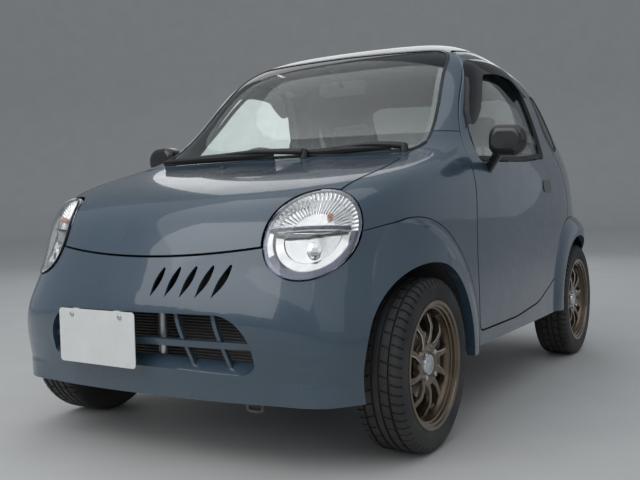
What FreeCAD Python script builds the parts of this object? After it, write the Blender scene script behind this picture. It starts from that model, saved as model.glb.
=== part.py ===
import FreeCAD, Part
import math
import os

# A small two-door hatchback city car with a rounded body.
# Frame: X to the car's left, Y to the rear, Z up, origin on the ground under
# the middle of the car. All lengths in millimetres, all angles in degrees.
V = FreeCAD.Vector
X, Y, Z = V(1, 0, 0), V(0, 1, 0), V(0, 0, 1)

# Overall sizes
LENGTH = 2755.0
WIDTH = 1475.0
HEIGHT = 1450.0
WHEELBASE = 1800.0
FRONT_AXLE_Y = -855.0
REAR_AXLE_Y = FRONT_AXLE_Y + WHEELBASE
NOSE_Y = -LENGTH / 2
TAIL_Y = LENGTH / 2

# Clearances
SHUT_GAP = 7.0      # between a panel that opens and its frame
SEAM = 3.0          # between two fixed panels
FIT = 0.3           # between a piece and its seat

# Wall thicknesses
CAB_WALL = 70.0
PANEL = 8.0
DOOR_OUTER = 10.0
DOOR_DEPTH = 48.0
DOOR_RECESS = 54.0
GLASS = 5.0
FLOOR = 12.0
HOOD_DEPTH = 14.0
HATCH_DEPTH = 4.0

# Wheels and tyres
TYRE_R = 263.0
TYRE_WIDTH = 156.0
TYRE_WALL = 9.0
BEAD_R = 178.0
RIM_R = 195.0
RIM_WALL = 5.0
SPOKES = 10
HUB_R = 50.0
FRONT_WHEEL_X = 653.0
REAR_WHEEL_X = 643.0
AXLE_Z = TYRE_R

# Wheel arches and their flares
ARCH_R = 310.0
FRONT_FLARE_R = 445.0
REAR_FLARE_R = 400.0
LIP = 30.0
# Where a flare seen from above starts to turn in, its radius there, and how far
# that outline moves back at each height
FRONT_TURN = (-830, -620, [(150, 0), (340, 0), (480, 55), (560, 100), (640, 140), (760, 190)])
REAR_TURN = (1000, 330, [(150, 0), (760, 0)])

# Heights along the body
SILL_Z = 250.0
BUMPER_Z = 203.0
HOOD_EDGE_Z = 617.0
BELT_Z = 925.0
FENDER_TOP_Z = 1000.0

# Places along the body
COWL_Y = -668.0
DOOR_FRONT_Y = -400.0
FIREWALL_Y = -470.0

# Steering
KINGPIN_LOW = V(600, FRONT_AXLE_Y, 185)
KINGPIN_TOP = V(500, FRONT_AXLE_Y, 700)
SPINDLE_R = 33.0
RUNNING_FIT = 0.05
STEERING_CENTRE = V(-320, -150, 820)
STEERING_TILT = 27.0
STEERING_R = 178.0
HUB_DEPTH = 55.0

# Leaf-shaped slots in the bumper, on the car's left of the middle
SLOTS = 5
SLOT_X = 50.0
SLOT_PITCH = 52.5
SLOT_Z = 499.0
SLOT_RISE = 97.0
SLOT_SLANT = 40.0
SLOT_WIDTH = 21.0

# Number plate
PLATE_CENTRE = V(-155, -1365, 372)
PLATE_WIDTH = 330.0
PLATE_HEIGHT = 165.0
PLATE_YAW = 3.75

# Door mirror
MIRROR_X = 785.0
MIRROR_Y = -295.0
MIRROR_Z = 962.0

# Load-bearing parts under the skin
INTAKE_TOP = 456.0
INTAKE_RISE = 0.86
INTAKE_DEPTH = 44.0
WING_X = 590.0
LINER = 4.0
STAY = V(27, -1272, 0)
STAY_R = 14.0
DOOR_INNER_X = 428.0
SUBFRAME_TOP = 258.0
RAIL_LOW = 330.0
ARM_TOP = 172.0
TOWER_Z = 722.0
BRAKE_R = 100.0
FLOOR_LINE = [(FIREWALL_Y - 90, 828), (FIREWALL_Y - 12, 740), (FIREWALL_Y + 30, 262),
              (480, 262), (600, 440), (1240, 450)]
FLOOR_Z = FLOOR_LINE[3][1]

# The body is a stack of rings, from the sill up to the roof. Each ring is a
# rounded loop: how far it sits back from the nose, in from the tail and in
# from the side, its height at the nose, side and tail, how square its front
# and rear corners are, and where along the car it is widest.
# back, from tail, from side, z nose, z side, z tail, square nose, square tail, middle
LOWER_RINGS = [
    (49, 47, 26, 150, 150, 150, 6.0, 6.0, 250),
    (53, 24, 22, 234, 234, 210, 7.3, 6.0, 250),
    (20, -4, 22, 345, 348, 329, 7.0, 6.0, 250),
    (-19, -16, 20, 447, 488, 483, 5.7, 5.6, 250),
    (42, -10, 21, 590, 647, 643, 4.6, 5.0, 250),
    (107, 4, 17, 767, 804, 788, 5.4, 4.5, 250),
    (389, 25, 39, 848, 926, 908, 5.8, 4.5, 250),
]
# back, from tail, from side, drop nose, drop side, drop tail, square nose, square tail, middle
UPPER_RINGS = [
    (768, 64, 77, 549, 427, 433, 5.5, 4.1, 250),
    (1007, 126, 100, 351, 299, 323, 5.1, 3.7, 250),
    (1188, 232, 146, 137, 157, 220, 4.4, 3.3, 250),
    (1438, 383, 274, 24, 56, 114, 3.4, 2.9, 280),
    (1752, 578, 486, 4, 0, 2, 2.4, 2.5, 420),
]
ROOF_TOP = V(0, 580, HEIGHT + 2)
POLES = 16


def ring(back, tail, side, z_nose, z_side, z_tail, nose_power, tail_power, middle):
    """The control points of one ring, from the nose round the car's left side."""
    points = []
    for k in range(POLES):
        turn = 2 * math.pi * k / POLES
        s, c = math.sin(turn), math.cos(turn)
        ahead = c > -1e-9
        power = 2 / (nose_power if ahead else tail_power)
        reach = abs(c) ** power if abs(c) > 1e-9 else 0.0
        out = abs(s) ** power if abs(s) > 1e-9 else 0.0
        end = NOSE_Y + back if ahead else TAIL_Y - tail
        z_end = z_nose if ahead else z_tail
        points.append(V(math.copysign(out, s) * (WIDTH / 2 - side),
                        middle + (end - middle) * reach,
                        z_side + (z_end - z_side) * reach ** 2))
    return points


def body_rings():
    rings = [ring(*row) for row in LOWER_RINGS]
    for row in UPPER_RINGS:
        heights = [HEIGHT - drop for drop in row[3:6]]
        rings.append(ring(*row[:3], *heights, *row[6:]))
    rings.append([ROOF_TOP] * POLES)
    return rings


RINGS = body_rings()
SKINS = {}


def skin(inset):
    """The closed solid of the whole body, its surface moved inwards by inset."""
    if inset in SKINS:
        return SKINS[inset]
    last = len(RINGS) - 1
    rows = []
    for i, row in enumerate(RINGS):
        new = []
        for k, point in enumerate(row):
            up = RINGS[min(i + 1, last)][k] - RINGS[max(i - 1, 0)][k]
            along = row[(k + 1) % POLES] - row[k - 1]
            inward = up.cross(along) if i < last else V(0, 0, -1)
            if i == 0:
                inward.z = 0
            inward.normalize()
            new.append(point + inward * inset)
        rows.append(new[6:] + new[:6])
    surface = Part.BSplineSurface()
    spans = len(rows) - 3
    surface.buildFromPolesMultsKnots(
        rows, [4] + [1] * (spans - 1) + [4], [1] * (POLES + 1),
        list(range(spans + 1)), list(range(POLES + 1)), False, True, 3, 3)
    side = surface.toShape()
    rim = [edge for edge in side.Edges if edge.BoundBox.ZMax < RINGS[0][0].z + 1]
    shell = Part.Shell([side.reversed(), Part.Face(Part.Wire(rim))])
    shell.sewShape()
    SKINS[inset] = Part.Solid(shell)
    return SKINS[inset]


def rounded(corners, grow=0.0):
    """A flat face in (a, b) from a list of (a, b, radius) corners, grown by grow."""
    edges, count = [], len(corners)
    joints = []
    for i, (a, b, radius) in enumerate(corners):
        here = V(a, b, 0)
        back = V(*corners[i - 1][:2], 0) - here
        ahead = V(*corners[(i + 1) % count][:2], 0) - here
        limit = 0.49 * min(back.Length, ahead.Length)
        back.normalize()
        ahead.normalize()
        half = back.getAngle(ahead) / 2
        reach = min(radius / math.tan(half), limit)
        if reach < 0.01:
            joints.append((here, None, here))
            continue
        radius = reach * math.tan(half)
        middle = back + ahead
        middle.normalize()
        joints.append((here + back * reach,
                       here + middle * (radius / math.sin(half) - radius),
                       here + ahead * reach))
    for i, (start, middle, end) in enumerate(joints):
        if middle is not None:
            edges.append(Part.Arc(start, middle, end).toShape())
        following = joints[(i + 1) % count][0]
        if (following - end).Length > 1e-4:
            edges.append(Part.makeLine(end, following))
    face = Part.Face(Part.Wire(edges))
    return face.makeOffset2D(grow) if abs(grow) > 1e-9 else face


def prism(face, a_axis, b_axis, start, end):
    """The solid swept by a flat (a, b) face along the third axis."""
    normal = a_axis.cross(b_axis)
    matrix = FreeCAD.Matrix(a_axis.x, b_axis.x, normal.x, 0,
                            a_axis.y, b_axis.y, normal.y, 0,
                            a_axis.z, b_axis.z, normal.z, 0, 0, 0, 0, 1)
    placed = face.copy()
    placed.transformShape(matrix)
    placed.translate(normal * start)
    return placed.extrude(normal * (end - start))


def from_side(corners, x0, x1, grow=0.0):
    """A prism along X from corners given as (y, z, radius)."""
    return prism(rounded(corners, grow), Y, Z, x0, x1)


def from_front(corners, y0, y1, grow=0.0):
    """A prism along Y from corners given as (x, z, radius)."""
    return prism(rounded(corners, grow), X, Z, -y1, -y0)


def from_above(corners, z0, z1, grow=0.0):
    """A prism along Z from corners given as (x, y, radius)."""
    return prism(rounded(corners, grow), X, Y, z0, z1)


def box(x0, x1, y0, y1, z0, z1):
    return Part.makeBox(x1 - x0, y1 - y0, z1 - z0, V(x0, y0, z0))


def rod(start, end, radius):
    return Part.makeCylinder(radius, (end - start).Length, start, end - start)


def offset_line(points, distance):
    """A (y, z) line moved down and forwards by distance, with mitred corners."""
    moved = []
    for i, (y, z) in enumerate(points):
        normals = []
        for a, b in zip(points[max(i - 1, 0):i + 1], points[max(i, 1):i + 2]):
            step = V(b[0] - a[0], b[1] - a[1], 0)
            step.normalize()
            normals.append(V(step.y, -step.x, 0))
        middle = sum(normals[1:], V(normals[0]))
        middle.normalize()
        push = middle * (distance / middle.dot(normals[0]))
        moved.append((y + push.x, z + push.y))
    return moved


def under_floor():
    """The room below the floor sheet and ahead of the firewall."""
    line = offset_line(FLOOR_LINE, FLOOR + FIT)
    corners = [(NOSE_Y, line[0][1])] + line + [(line[-1][0], 0), (NOSE_Y, 0)]
    return from_side([(y, z, 0) for y, z in corners], -1000, 1000)


def over_floor():
    """The room above the floor sheet and behind the firewall."""
    line = offset_line(FLOOR_LINE, -FIT)
    corners = line + [(line[-1][0], HEIGHT), (line[0][0], HEIGHT)]
    return from_side([(y, z, 0) for y, z in corners], -1000, 1000)


def pair(shape):
    """A shape on the car's left with its mirror image on the right."""
    return Part.makeCompound([shape, mirrored(shape)])


def mirrored(shape):
    return shape.mirror(V(0, 0, 0), X)


def layer(outer, inner):
    """The shell of the body between two depths below its surface."""
    return skin(outer).cut(skin(inner))


def solids(shape):
    """A clean compound, or the solid itself where there is only one."""
    parts = shape.Solids
    return parts[0] if len(parts) == 1 else Part.makeCompound(parts)


# Outlines on the body, as corners with their radii

SCREEN = [(-566, BELT_Z, 35), (-468, 1350, 90), (0, 1361, 2500),
          (468, 1350, 90), (566, BELT_Z, 35)]
HOOD_PLAN = [(-530, NOSE_Y - 50, 0), (-530, -1080, 200), (-557, -870, 600), (-545, COWL_Y, 60),
             (545, COWL_Y, 60), (557, -870, 600), (530, -1080, 200), (530, NOSE_Y - 50, 0)]
DOOR = [(DOOR_FRONT_Y, 303, 25), (DOOR_FRONT_Y, 905, 150), (-240, 1120, 1200), (0, 1347, 70),
        (200, 1366, 900), (400, 1348, 200), (590, 1205, 300), (655, 1035, 400),
        (800, 890, 300), (866, 740, 150), (866, 560, 0), (560, 402, 60), (300, 325, 500), (0, 303, 900)]
DOOR_WINDOW = [(-318, 890, 25), (-255, 1060, 600), (-60, 1285, 70), (130, 1313, 500),
               (330, 1300, 120), (455, 1195, 150), (535, 1040, 200), (508, 928, 40), (200, 905, 900)]
QUARTER = [(618, 1216, 12), (700, 1222, 40), (868, 1040, 60), (858, 984, 25), (772, 970, 20),
           (680, 1046, 400)]
HATCH = [(-505, 935, 70), (-425, 1285, 110), (425, 1285, 110), (505, 935, 70)]
INTAKE = [(-396, 100, 0), (-380, INTAKE_TOP, 115), (380, INTAKE_TOP, 115), (396, 100, 0)]
INTAKE_SILL = [(-392, 900, 0), (-392, 236, 55), (0, 270, 2200), (392, 236, 55), (392, 900, 0)]
TAIL_LAMP = [(512, 640, 45), (636, 640, 55), (622, 820, 60), (512, 820, 45)]

LAMP_CENTRE = V(497.5, -1171, 672)
LAMP_AXIS = V(0.45, -0.85, 0.28)
LAMP_LONG = 157.0
LAMP_SHORT = 120.0
LAMP_LEAN = 45.0


def lamp_zone(grow=0.0):
    """The slanted oval through which a headlamp shows, on the car's left."""
    axis = V(LAMP_AXIS)
    axis.normalize()
    across = Z.cross(axis)
    across.normalize()
    up = axis.cross(across)
    lean = math.radians(LAMP_LEAN + 1)
    along = across * math.cos(lean) + up * math.sin(lean)
    start = LAMP_CENTRE - axis * 260
    oval = Part.Ellipse(start + along * (LAMP_LONG + grow),
                        start + axis.cross(along) * (LAMP_SHORT + grow), start)
    return Part.Face(Part.Wire(oval.toShape())).extrude(axis * 520)


def blister(axle_y, reach_x, flat_r, round_r, turn, wall):
    """The bulge of a flare on the car's left, shrunk by wall for its inner side."""
    x_out, r_out = reach_x - wall, round_r - wall
    corner, diagonal = x_out - r_out, r_out * math.sqrt(0.5)
    low, high = corner - 200, flat_r + r_out
    arc = Part.Arc(V(x_out, 0, flat_r), V(corner + diagonal, 0, flat_r + diagonal),
                   V(corner, 0, high)).toShape()
    lines = Part.makePolygon([V(corner, 0, high), V(low, 0, high), V(low, 0, 0), V(x_out, 0, 0),
                              V(x_out, 0, flat_r)])
    dome = Part.Face(Part.Wire([arc] + lines.Edges)).revolve(V(0, 0, 0), X, 360)
    dome.translate(V(0, axle_y, AXLE_Z))
    start, reach, lean = turn
    reach -= math.copysign(wall, reach)
    plan = rounded([(-x_out, start - reach * 2, 0), (x_out, start - reach * 2, 0),
                    (x_out, start + reach, abs(reach)), (-x_out, start + reach, 0)])
    sections = [plan.OuterWire.translated(V(0, shift, z)) for z, shift in lean]
    return dome.common(Part.makeLoft(sections, True))


def flared(inset):
    """The body's solid with its four flares, moved inwards by inset."""
    key = ("flared", inset)
    if key not in SKINS:
        front = blister(FRONT_AXLE_Y, WIDTH / 2, 330, 128, FRONT_TURN, inset)
        rear = blister(REAR_AXLE_Y, WIDTH / 2 - 10, 318, 112, REAR_TURN, inset)
        bulges = [front, rear, mirrored(front), mirrored(rear)]
        SKINS[key] = skin(inset).fuse(bulges)
    return SKINS[key]


def arch(axle_y, radius, x0=400.0, x1=900.0):
    """The space of one wheel arch on the car's left."""
    return Part.makeCylinder(radius, x1 - x0, V(x0, axle_y, AXLE_Z), X)


def both_sides(shape):
    return [shape, mirrored(shape)]


def arches(radius):
    return [piece for y in (FRONT_AXLE_Y, REAR_AXLE_Y) for piece in both_sides(arch(y, radius))]


def flare_disc(axle_y, radius):
    return Part.makeCylinder(radius, 2000, V(-1000, axle_y, AXLE_Z), X)


def hood_zone(grow=0.0):
    """Everything above the bonnet's front edge and inside its plan outline."""
    rise = 300.0 ** 2 / (2 * 2850.0)
    edge = Part.Arc(V(-600, 0, HOOD_EDGE_Z + 4 * rise - grow), V(0, 0, HOOD_EDGE_Z - grow),
                    V(600, 0, HOOD_EDGE_Z + 4 * rise - grow)).toShape()
    sides = Part.makePolygon([V(600, 0, HOOD_EDGE_Z + 4 * rise - grow), V(600, 0, 1100),
                              V(-600, 0, 1100), V(-600, 0, HOOD_EDGE_Z + 4 * rise - grow)])
    face = Part.Face(Part.Wire([edge] + sides.Edges))
    face.translate(V(0, NOSE_Y - 100, 0))
    front = face.extrude(V(0, 1000, 0))
    return front.common(from_above(HOOD_PLAN, 0, 1200, grow))


def bumper_zone(grow=0.0):
    """The front bumper with its arch flares, seen from the side."""
    nose = from_side([(NOSE_Y - 100, 0, 0), (NOSE_Y - 100, 690, 0), (-1085, 676, 0),
                      (-940, 700, 0), (FRONT_AXLE_Y, 708, 0), (FRONT_AXLE_Y, 0, 0)],
                     -1000, 1000, grow)
    behind = box(-1000, 1000, NOSE_Y - 200, DOOR_FRONT_Y - SHUT_GAP + grow, 0, HEIGHT)
    return nose.fuse(flare_disc(FRONT_AXLE_Y, FRONT_FLARE_R + grow)).common(behind)


def rear_bumper_zone(grow=0.0):
    """The rear bumper with its arch flares, seen from the side."""
    tail = from_side([(REAR_AXLE_Y, 0, 0), (REAR_AXLE_Y, 600, 0), (TAIL_Y + 100, 600, 0),
                      (TAIL_Y + 100, 0, 0)], -1000, 1000, grow)
    return tail.fuse(flare_disc(REAR_AXLE_Y, REAR_FLARE_R + grow))


def door_zone(grow=0.0, side=1):
    """A door's outline, whose lower rear corner follows the rear flare."""
    outline = from_side(DOOR, 300 * side if side > 0 else -900, 900 if side > 0 else -300, grow)
    return outline.cut(flare_disc(REAR_AXLE_Y, REAR_FLARE_R + SHUT_GAP - grow))


def screen_zone(grow=0.0):
    return from_front(SCREEN, -900, 150, grow)


def hatch_zone(grow=0.0):
    return from_front(HATCH, 900, 1500, grow)


def quarter_zone(grow=0.0):
    return from_side(QUARTER, 300, 900, grow)


def tail_lamp_zone(grow=0.0):
    return from_front(TAIL_LAMP, 1000, 1500, grow)


def intake_zone(grow=0.0):
    """The intake, straight at its sides and top, over a sill that rises inwards."""
    start, length = NOSE_Y - 100, 300
    sill = rounded(INTAKE_SILL, grow)
    sill.rotate(V(0, 0, 0), X, 90)
    sill.translate(V(0, start, INTAKE_RISE * (start - PLATE_CENTRE.y)))
    sill = sill.extrude(V(0, length, INTAKE_RISE * length))
    return sill.common(from_front(INTAKE, start, start + length, grow))


# Fixed body panels

def front_bumper():
    shell = flared(0).cut(flared(PANEL))
    intake = intake_zone()
    surround = intake_zone(PANEL).cut(intake).common(skin(0).cut(skin(INTAKE_DEPTH)))
    lips = [arch(FRONT_AXLE_Y, ARCH_R + 6, WIDTH / 2 - LIP, WIDTH / 2)]
    lips = [flared(2).common(lips[0]), flared(2).common(mirrored(lips[0]))]
    whole = shell.fuse([surround] + lips).common(bumper_zone())
    low = box(-1000, 1000, NOSE_Y - 100, FRONT_AXLE_Y, 0, BUMPER_Z)
    behind = box(-1000, 1000, FRONT_AXLE_Y, DOOR_FRONT_Y + 50, 0, SILL_Z - 10)
    lamps = both_sides(lamp_zone(SEAM))
    slots = [from_front(slot_outline(i), NOSE_Y - 100, -1200) for i in range(SLOTS)]
    cuts = [hood_zone(SHUT_GAP), intake, low, behind] + lamps + slots
    cuts += both_sides(arch(FRONT_AXLE_Y, ARCH_R))
    return whole.cut(cuts)


def slot_outline(i):
    """One leaf-shaped slot as (x, z, radius) corners."""
    x, top = SLOT_X + i * SLOT_PITCH, SLOT_Z + SLOT_RISE + i * 3
    slant = SLOT_SLANT + i * 3
    half = SLOT_WIDTH / 2
    return [(x, SLOT_Z, 1), (x + slant * 0.45 - half, SLOT_Z + SLOT_RISE * 0.55, 150),
            (x + slant, top, 5), (x + slant * 0.6 + half, SLOT_Z + SLOT_RISE * 0.45, 150)]


def front_fenders():
    zone = box(300, 1000, NOSE_Y, -200, SILL_Z, FENDER_TOP_Z)
    cuts = [hood_zone(SHUT_GAP), bumper_zone(SEAM), lamp_zone(SEAM), screen_zone(SEAM),
            door_zone(SHUT_GAP), box(0, 548, COWL_Y - 200, 0, 0, HEIGHT)]
    left = flared(0).cut(skin(PANEL)).common(zone).cut(cuts)
    return pair(solids(left))


def cab_zone():
    main = box(-1000, 1000, FIREWALL_Y, TAIL_Y + 100, SILL_Z, HEIGHT + 100)
    cowl = box(-1000, 1000, COWL_Y + SHUT_GAP, FIREWALL_Y + 1, 830, HEIGHT)
    return main.fuse(cowl)


def cab_shell():
    shell = skin(0).cut(skin(CAB_WALL)).common(cab_zone())
    fender = box(548 - SEAM, 1000, NOSE_Y, -200, 0, FENDER_TOP_Z + SEAM)
    fender = fender.cut(skin(PANEL + FIT)).cut(door_zone(SHUT_GAP))
    cuts = both_sides(fender)
    cuts.append(rear_bumper_zone(SEAM).cut(skin(PANEL + FIT)))
    cuts.append(screen_zone(3).cut(skin(GLASS + 3 + FIT)))
    cuts.append(screen_zone(-22))
    cuts.append(hatch_zone(SHUT_GAP).cut(skin(HATCH_DEPTH + GLASS + 5)).cut(hatch_pads()))
    cuts.append(hatch_zone(-22))
    for side in (1, -1):
        recess = door_zone(SHUT_GAP, side).cut(skin(DOOR_RECESS))
        cuts.append(recess.cut(hinge_pads(side)))
        cuts.append(door_zone(-28, side))
    quarter = quarter_zone(2).cut(skin(GLASS + 3 + FIT))
    cuts += both_sides(quarter) + both_sides(quarter_zone(-12))
    cuts += both_sides(tail_lamp_zone(FIT).cut(skin(45)))
    cuts += arches(ARCH_R + 2)
    pads = [box(x - 25, x + 25, COWL_Y - 35, COWL_Y + 15, 850, HEIGHT).common(skin(HOOD_DEPTH + FIT))
            for x in (-430, 430)]
    return solids(shell.fuse(pads).cut(cuts))


def hinge_pads(side):
    """Two blocks on the pillar that the closed door's hinge edge lies against."""
    y0, y1 = DOOR_FRONT_Y + 15, DOOR_FRONT_Y + 50
    x0, x1 = sorted((400 * side, 900 * side))
    blocks = [box(x0, x1, y0, y1, z, z + 60) for z in (380, 720)]
    return Part.makeCompound(blocks).common(skin(DOOR_DEPTH + FIT))


def hatch_pads():
    """Two pads under the upper edge of the rear glass."""
    blocks = [box(x - 25, x + 25, 900, 1400, 1262, 1282) for x in (-250, 250)]
    return Part.makeCompound(blocks).common(skin(HATCH_DEPTH + GLASS + FIT))


def arch_liner():
    """A bent sheet over the front left tyre, from the inner wing out to the panels."""
    sheet = arch(FRONT_AXLE_Y, ARCH_R + 2 + LINER, WING_X + FIT, WIDTH / 2)
    sheet = sheet.cut(arch(FRONT_AXLE_Y, ARCH_R + 2)).cut([lamp_zone(14), box(0, 1000, -1500, 0, 0, SILL_Z)])
    return sheet.common(box(0, WIDTH / 2 - LIP - FIT, -1500, 0, 0, HEIGHT)).common(flared(PANEL + FIT))


def wheel_housings():
    """Half drums that close the cabin over the rear wheels, and liners over the front ones."""
    drum = Part.makeCylinder(ARCH_R + 16, 200, V(530, REAR_AXLE_Y, AXLE_Z), X)
    space = Part.makeCylinder(ARCH_R + 4, 200, V(545, REAR_AXLE_Y, AXLE_Z), X)
    drum = drum.cut(space).common(skin(CAB_WALL + FIT))
    drum = drum.cut(box(0, 1000, 0, 1500, 0, 330))
    return Part.makeCompound(both_sides(solids(drum)) + both_sides(solids(arch_liner())))


def floor_pan():
    """One bent sheet: firewall, flat floor, kick-up and luggage floor."""
    corners = FLOOR_LINE + offset_line(FLOOR_LINE, FLOOR)[::-1]
    sheet = from_side([(y, z, 0) for y, z in corners], -1000, 1000)
    sheet = sheet.common(skin(CAB_WALL + FIT))
    housings = Part.makeCylinder(ARCH_R + 16 + FIT, 500, V(530 - FIT, REAR_AXLE_Y, AXLE_Z), X)
    return solids(sheet.cut(both_sides(housings)))


def rear_bumper():
    shell = flared(0).cut(flared(PANEL)).common(rear_bumper_zone())
    lip = arch(REAR_AXLE_Y, ARCH_R + 6, WIDTH / 2 - 10 - LIP, WIDTH / 2)
    lips = [flared(2).common(lip), flared(2).common(mirrored(lip))]
    front = box(-1000, 1000, 0, REAR_AXLE_Y, 0, SILL_Z)
    low = box(-1000, 1000, REAR_AXLE_Y, TAIL_Y + 100, 0, BUMPER_Z + 10)
    cuts = [front, low] + both_sides(arch(REAR_AXLE_Y, ARCH_R))
    return solids(shell.fuse(lips).cut(cuts))


# Bonnet, doors and hatch

def bonnet():
    return solids(layer(0, HOOD_DEPTH).common(hood_zone()).cut(both_sides(lamp_zone(SHUT_GAP))))


def door_shell():
    outer = layer(0, DOOR_OUTER).common(door_zone())
    inner = layer(DOOR_OUTER - 0.5, DOOR_DEPTH).common(door_zone(-14))
    inner = inner.common(box(DOOR_INNER_X, WIDTH, -WIDTH, WIDTH, 0, HEIGHT))
    slot = layer(14 - FIT, 14 + GLASS + FIT).common(from_side(DOOR_WINDOW, 300, 900, 10))
    window = from_side(DOOR_WINDOW, 300, 900)
    return solids(outer.fuse(inner).cut([window, slot]))


def door_glass():
    zone = from_side(DOOR_WINDOW, 300, 900, 10 - FIT)
    return solids(layer(14, 14 + GLASS).common(zone))


def door_mirror():
    """A rounded mirror housing on a short foot that stands on the door."""
    shell = from_front([(MIRROR_X - 72, MIRROR_Z - 50, 40), (MIRROR_X - 66, MIRROR_Z + 58, 42),
                        (MIRROR_X + 70, MIRROR_Z + 52, 55), (MIRROR_X + 66, MIRROR_Z - 58, 50)],
                       MIRROR_Y - 42, MIRROR_Y + 30)
    edges = [e for e in shell.Edges if abs(e.BoundBox.YMax - (MIRROR_Y - 42)) < 0.1
             and e.BoundBox.YLength < 0.1]
    shell = shell.makeFillet(26, edges)
    glass = from_front([(MIRROR_X - 62, MIRROR_Z - 42, 32), (MIRROR_X - 57, MIRROR_Z + 49, 34),
                        (MIRROR_X + 61, MIRROR_Z + 44, 46), (MIRROR_X + 57, MIRROR_Z - 49, 42)],
                       MIRROR_Y + 24, MIRROR_Y + 40)
    foot = rod(V(670, -225, 850), V(745, -290, 925), 17)
    foot = foot.cut(skin(-FIT))
    return solids(shell.cut(glass).fuse(foot))


def door_handle():
    """A flush oval flap handle with a finger recess."""
    oval = from_side([(404, 782, 22), (404, 832, 22), (528, 836, 24), (528, 778, 24)], 300, 900)
    return solids(layer(-3, -0.3).common(oval))


def hatch_glass():
    return solids(layer(HATCH_DEPTH, HATCH_DEPTH + GLASS).common(hatch_zone()))


# Glass and lamps

def windscreen():
    return solids(layer(3, 3 + GLASS).common(screen_zone()))


def quarter_windows():
    return pair(solids(layer(3, 3 + GLASS).common(quarter_zone())))


def headlamp_bodies():
    """Deep cups behind the lenses, each with a flange behind bumper and fender."""
    cup = layer(2, 90).common(lamp_zone(-2))
    flange = layer(PANEL + FIT, PANEL + 10).common(lamp_zone(12)).cut(hood_zone(SHUT_GAP))
    hollow = skin(-20).cut(skin(70)).common(lamp_zone(-12))
    return pair(solids(cup.fuse(flange).cut(hollow)))


def headlamp_lenses():
    return pair(solids(layer(-6, 2 - FIT).common(lamp_zone(-2))))


def tail_lamps():
    return pair(solids(layer(-5, 45 - FIT).common(tail_lamp_zone())))


def grille():
    """One cross bar and slanted struts across the intake."""
    opening = intake_zone(-FIT)
    bar = layer(16, 40).common(box(-500, 500, NOSE_Y, -1100, 358, 377))
    struts = []
    for x in (-290, -165, 132, 256):
        slat = from_front([(x - 6, 460, 0), (x + 6, 460, 0), (x + 46, 285, 0), (x + 34, 285, 0)],
                          NOSE_Y, -1100)
        struts.append(layer(22, 36).common(slat))
    return solids(bar.fuse(struts).common(opening))


def number_plate():
    """A blank plate on two straps that hang from the upper edge of the intake."""
    half, high = PLATE_WIDTH / 2, PLATE_HEIGHT / 2
    face = rounded([(-half, -high, 12), (-half, high, 12), (half, high, 12), (half, -high, 12)])
    top = INTAKE_TOP - FIT - PLATE_CENTRE.z
    straps = [box(x - 12, x + 12, -1, 22, -40, top) for x in (-90, 90)]
    plate = prism(face, X, Z, 0, 2).fuse(straps)
    plate.rotate(V(0, 0, 0), Z, -PLATE_YAW)
    plate.translate(PLATE_CENTRE)
    return solids(plate)


# Structure under the skin

def front_frame():
    """Rails, inner wings, strut towers and the radiator support, as one welding."""
    left = [box(330, 390, -1190, FIREWALL_Y + 60, RAIL_LOW, 420),
            box(388, 394, -1150, FIREWALL_Y - 60, 400, TOWER_Z + 8),
            box(390, WING_X, FRONT_AXLE_Y - 90, FRONT_AXLE_Y + 90, TOWER_Z, TOWER_Z + 10)]
    pieces = left + [mirrored(piece) for piece in left]
    support = box(-420, 420, -1225, -1185, 230, 640)
    pieces.append(support.cut(box(-345, 345, -1300, -1100, 262, 600)))
    pieces.append(box(-390, 390, -1255, -1224, 480, 560))
    whole = pieces[0].fuse(pieces[1:]).common(skin(PANEL + 10)).common(under_floor())
    whole = whole.cut(both_sides(lamp_zone(14)))
    nose = box(-390, 390, NOSE_Y, -1230, INTAKE_TOP + PANEL + 5, SLOT_Z - 5)
    stay = [rod(V(STAY.x, STAY.y, 236), V(STAY.x, STAY.y, INTAKE_TOP + PANEL + 12), STAY_R),
            box(STAY.x - STAY_R, STAY.x + STAY_R, STAY.y, -1190, 232, 246)]
    return solids(whole.fuse([nose.common(skin(PANEL + FIT))] + stay))


def radiator():
    return box(-345 + FIT, 345 - FIT, -1222, -1192, 262 + FIT, 600 - FIT)


def engine_block():
    block = box(-290, 290, -1120, -640, SUBFRAME_TOP + FIT, 640)
    return block.makeChamfer(30, [e for e in block.Edges if e.BoundBox.ZLength > 100])


def front_subframe():
    """A cross member with two lower arms that carry the knuckles."""
    y = FRONT_AXLE_Y
    end = KINGPIN_LOW.x
    arm = from_above([(280, y - 100, 20), (end, y - 24, 20), (end + 22, y, 10), (end, y + 24, 20),
                      (280, y + 100, 20)], ARM_TOP - 14, ARM_TOP)
    left = [arm, box(270, 300, y - 95, y + 95, ARM_TOP - 14, SUBFRAME_TOP - 40),
            box(300, 380, y - 60, y + 60, SUBFRAME_TOP - 8, RAIL_LOW - FIT)]
    beam = box(-334, 334, y - 60, y + 60, 210, SUBFRAME_TOP)
    return solids(beam.fuse(left + [mirrored(piece) for piece in left]))


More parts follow.
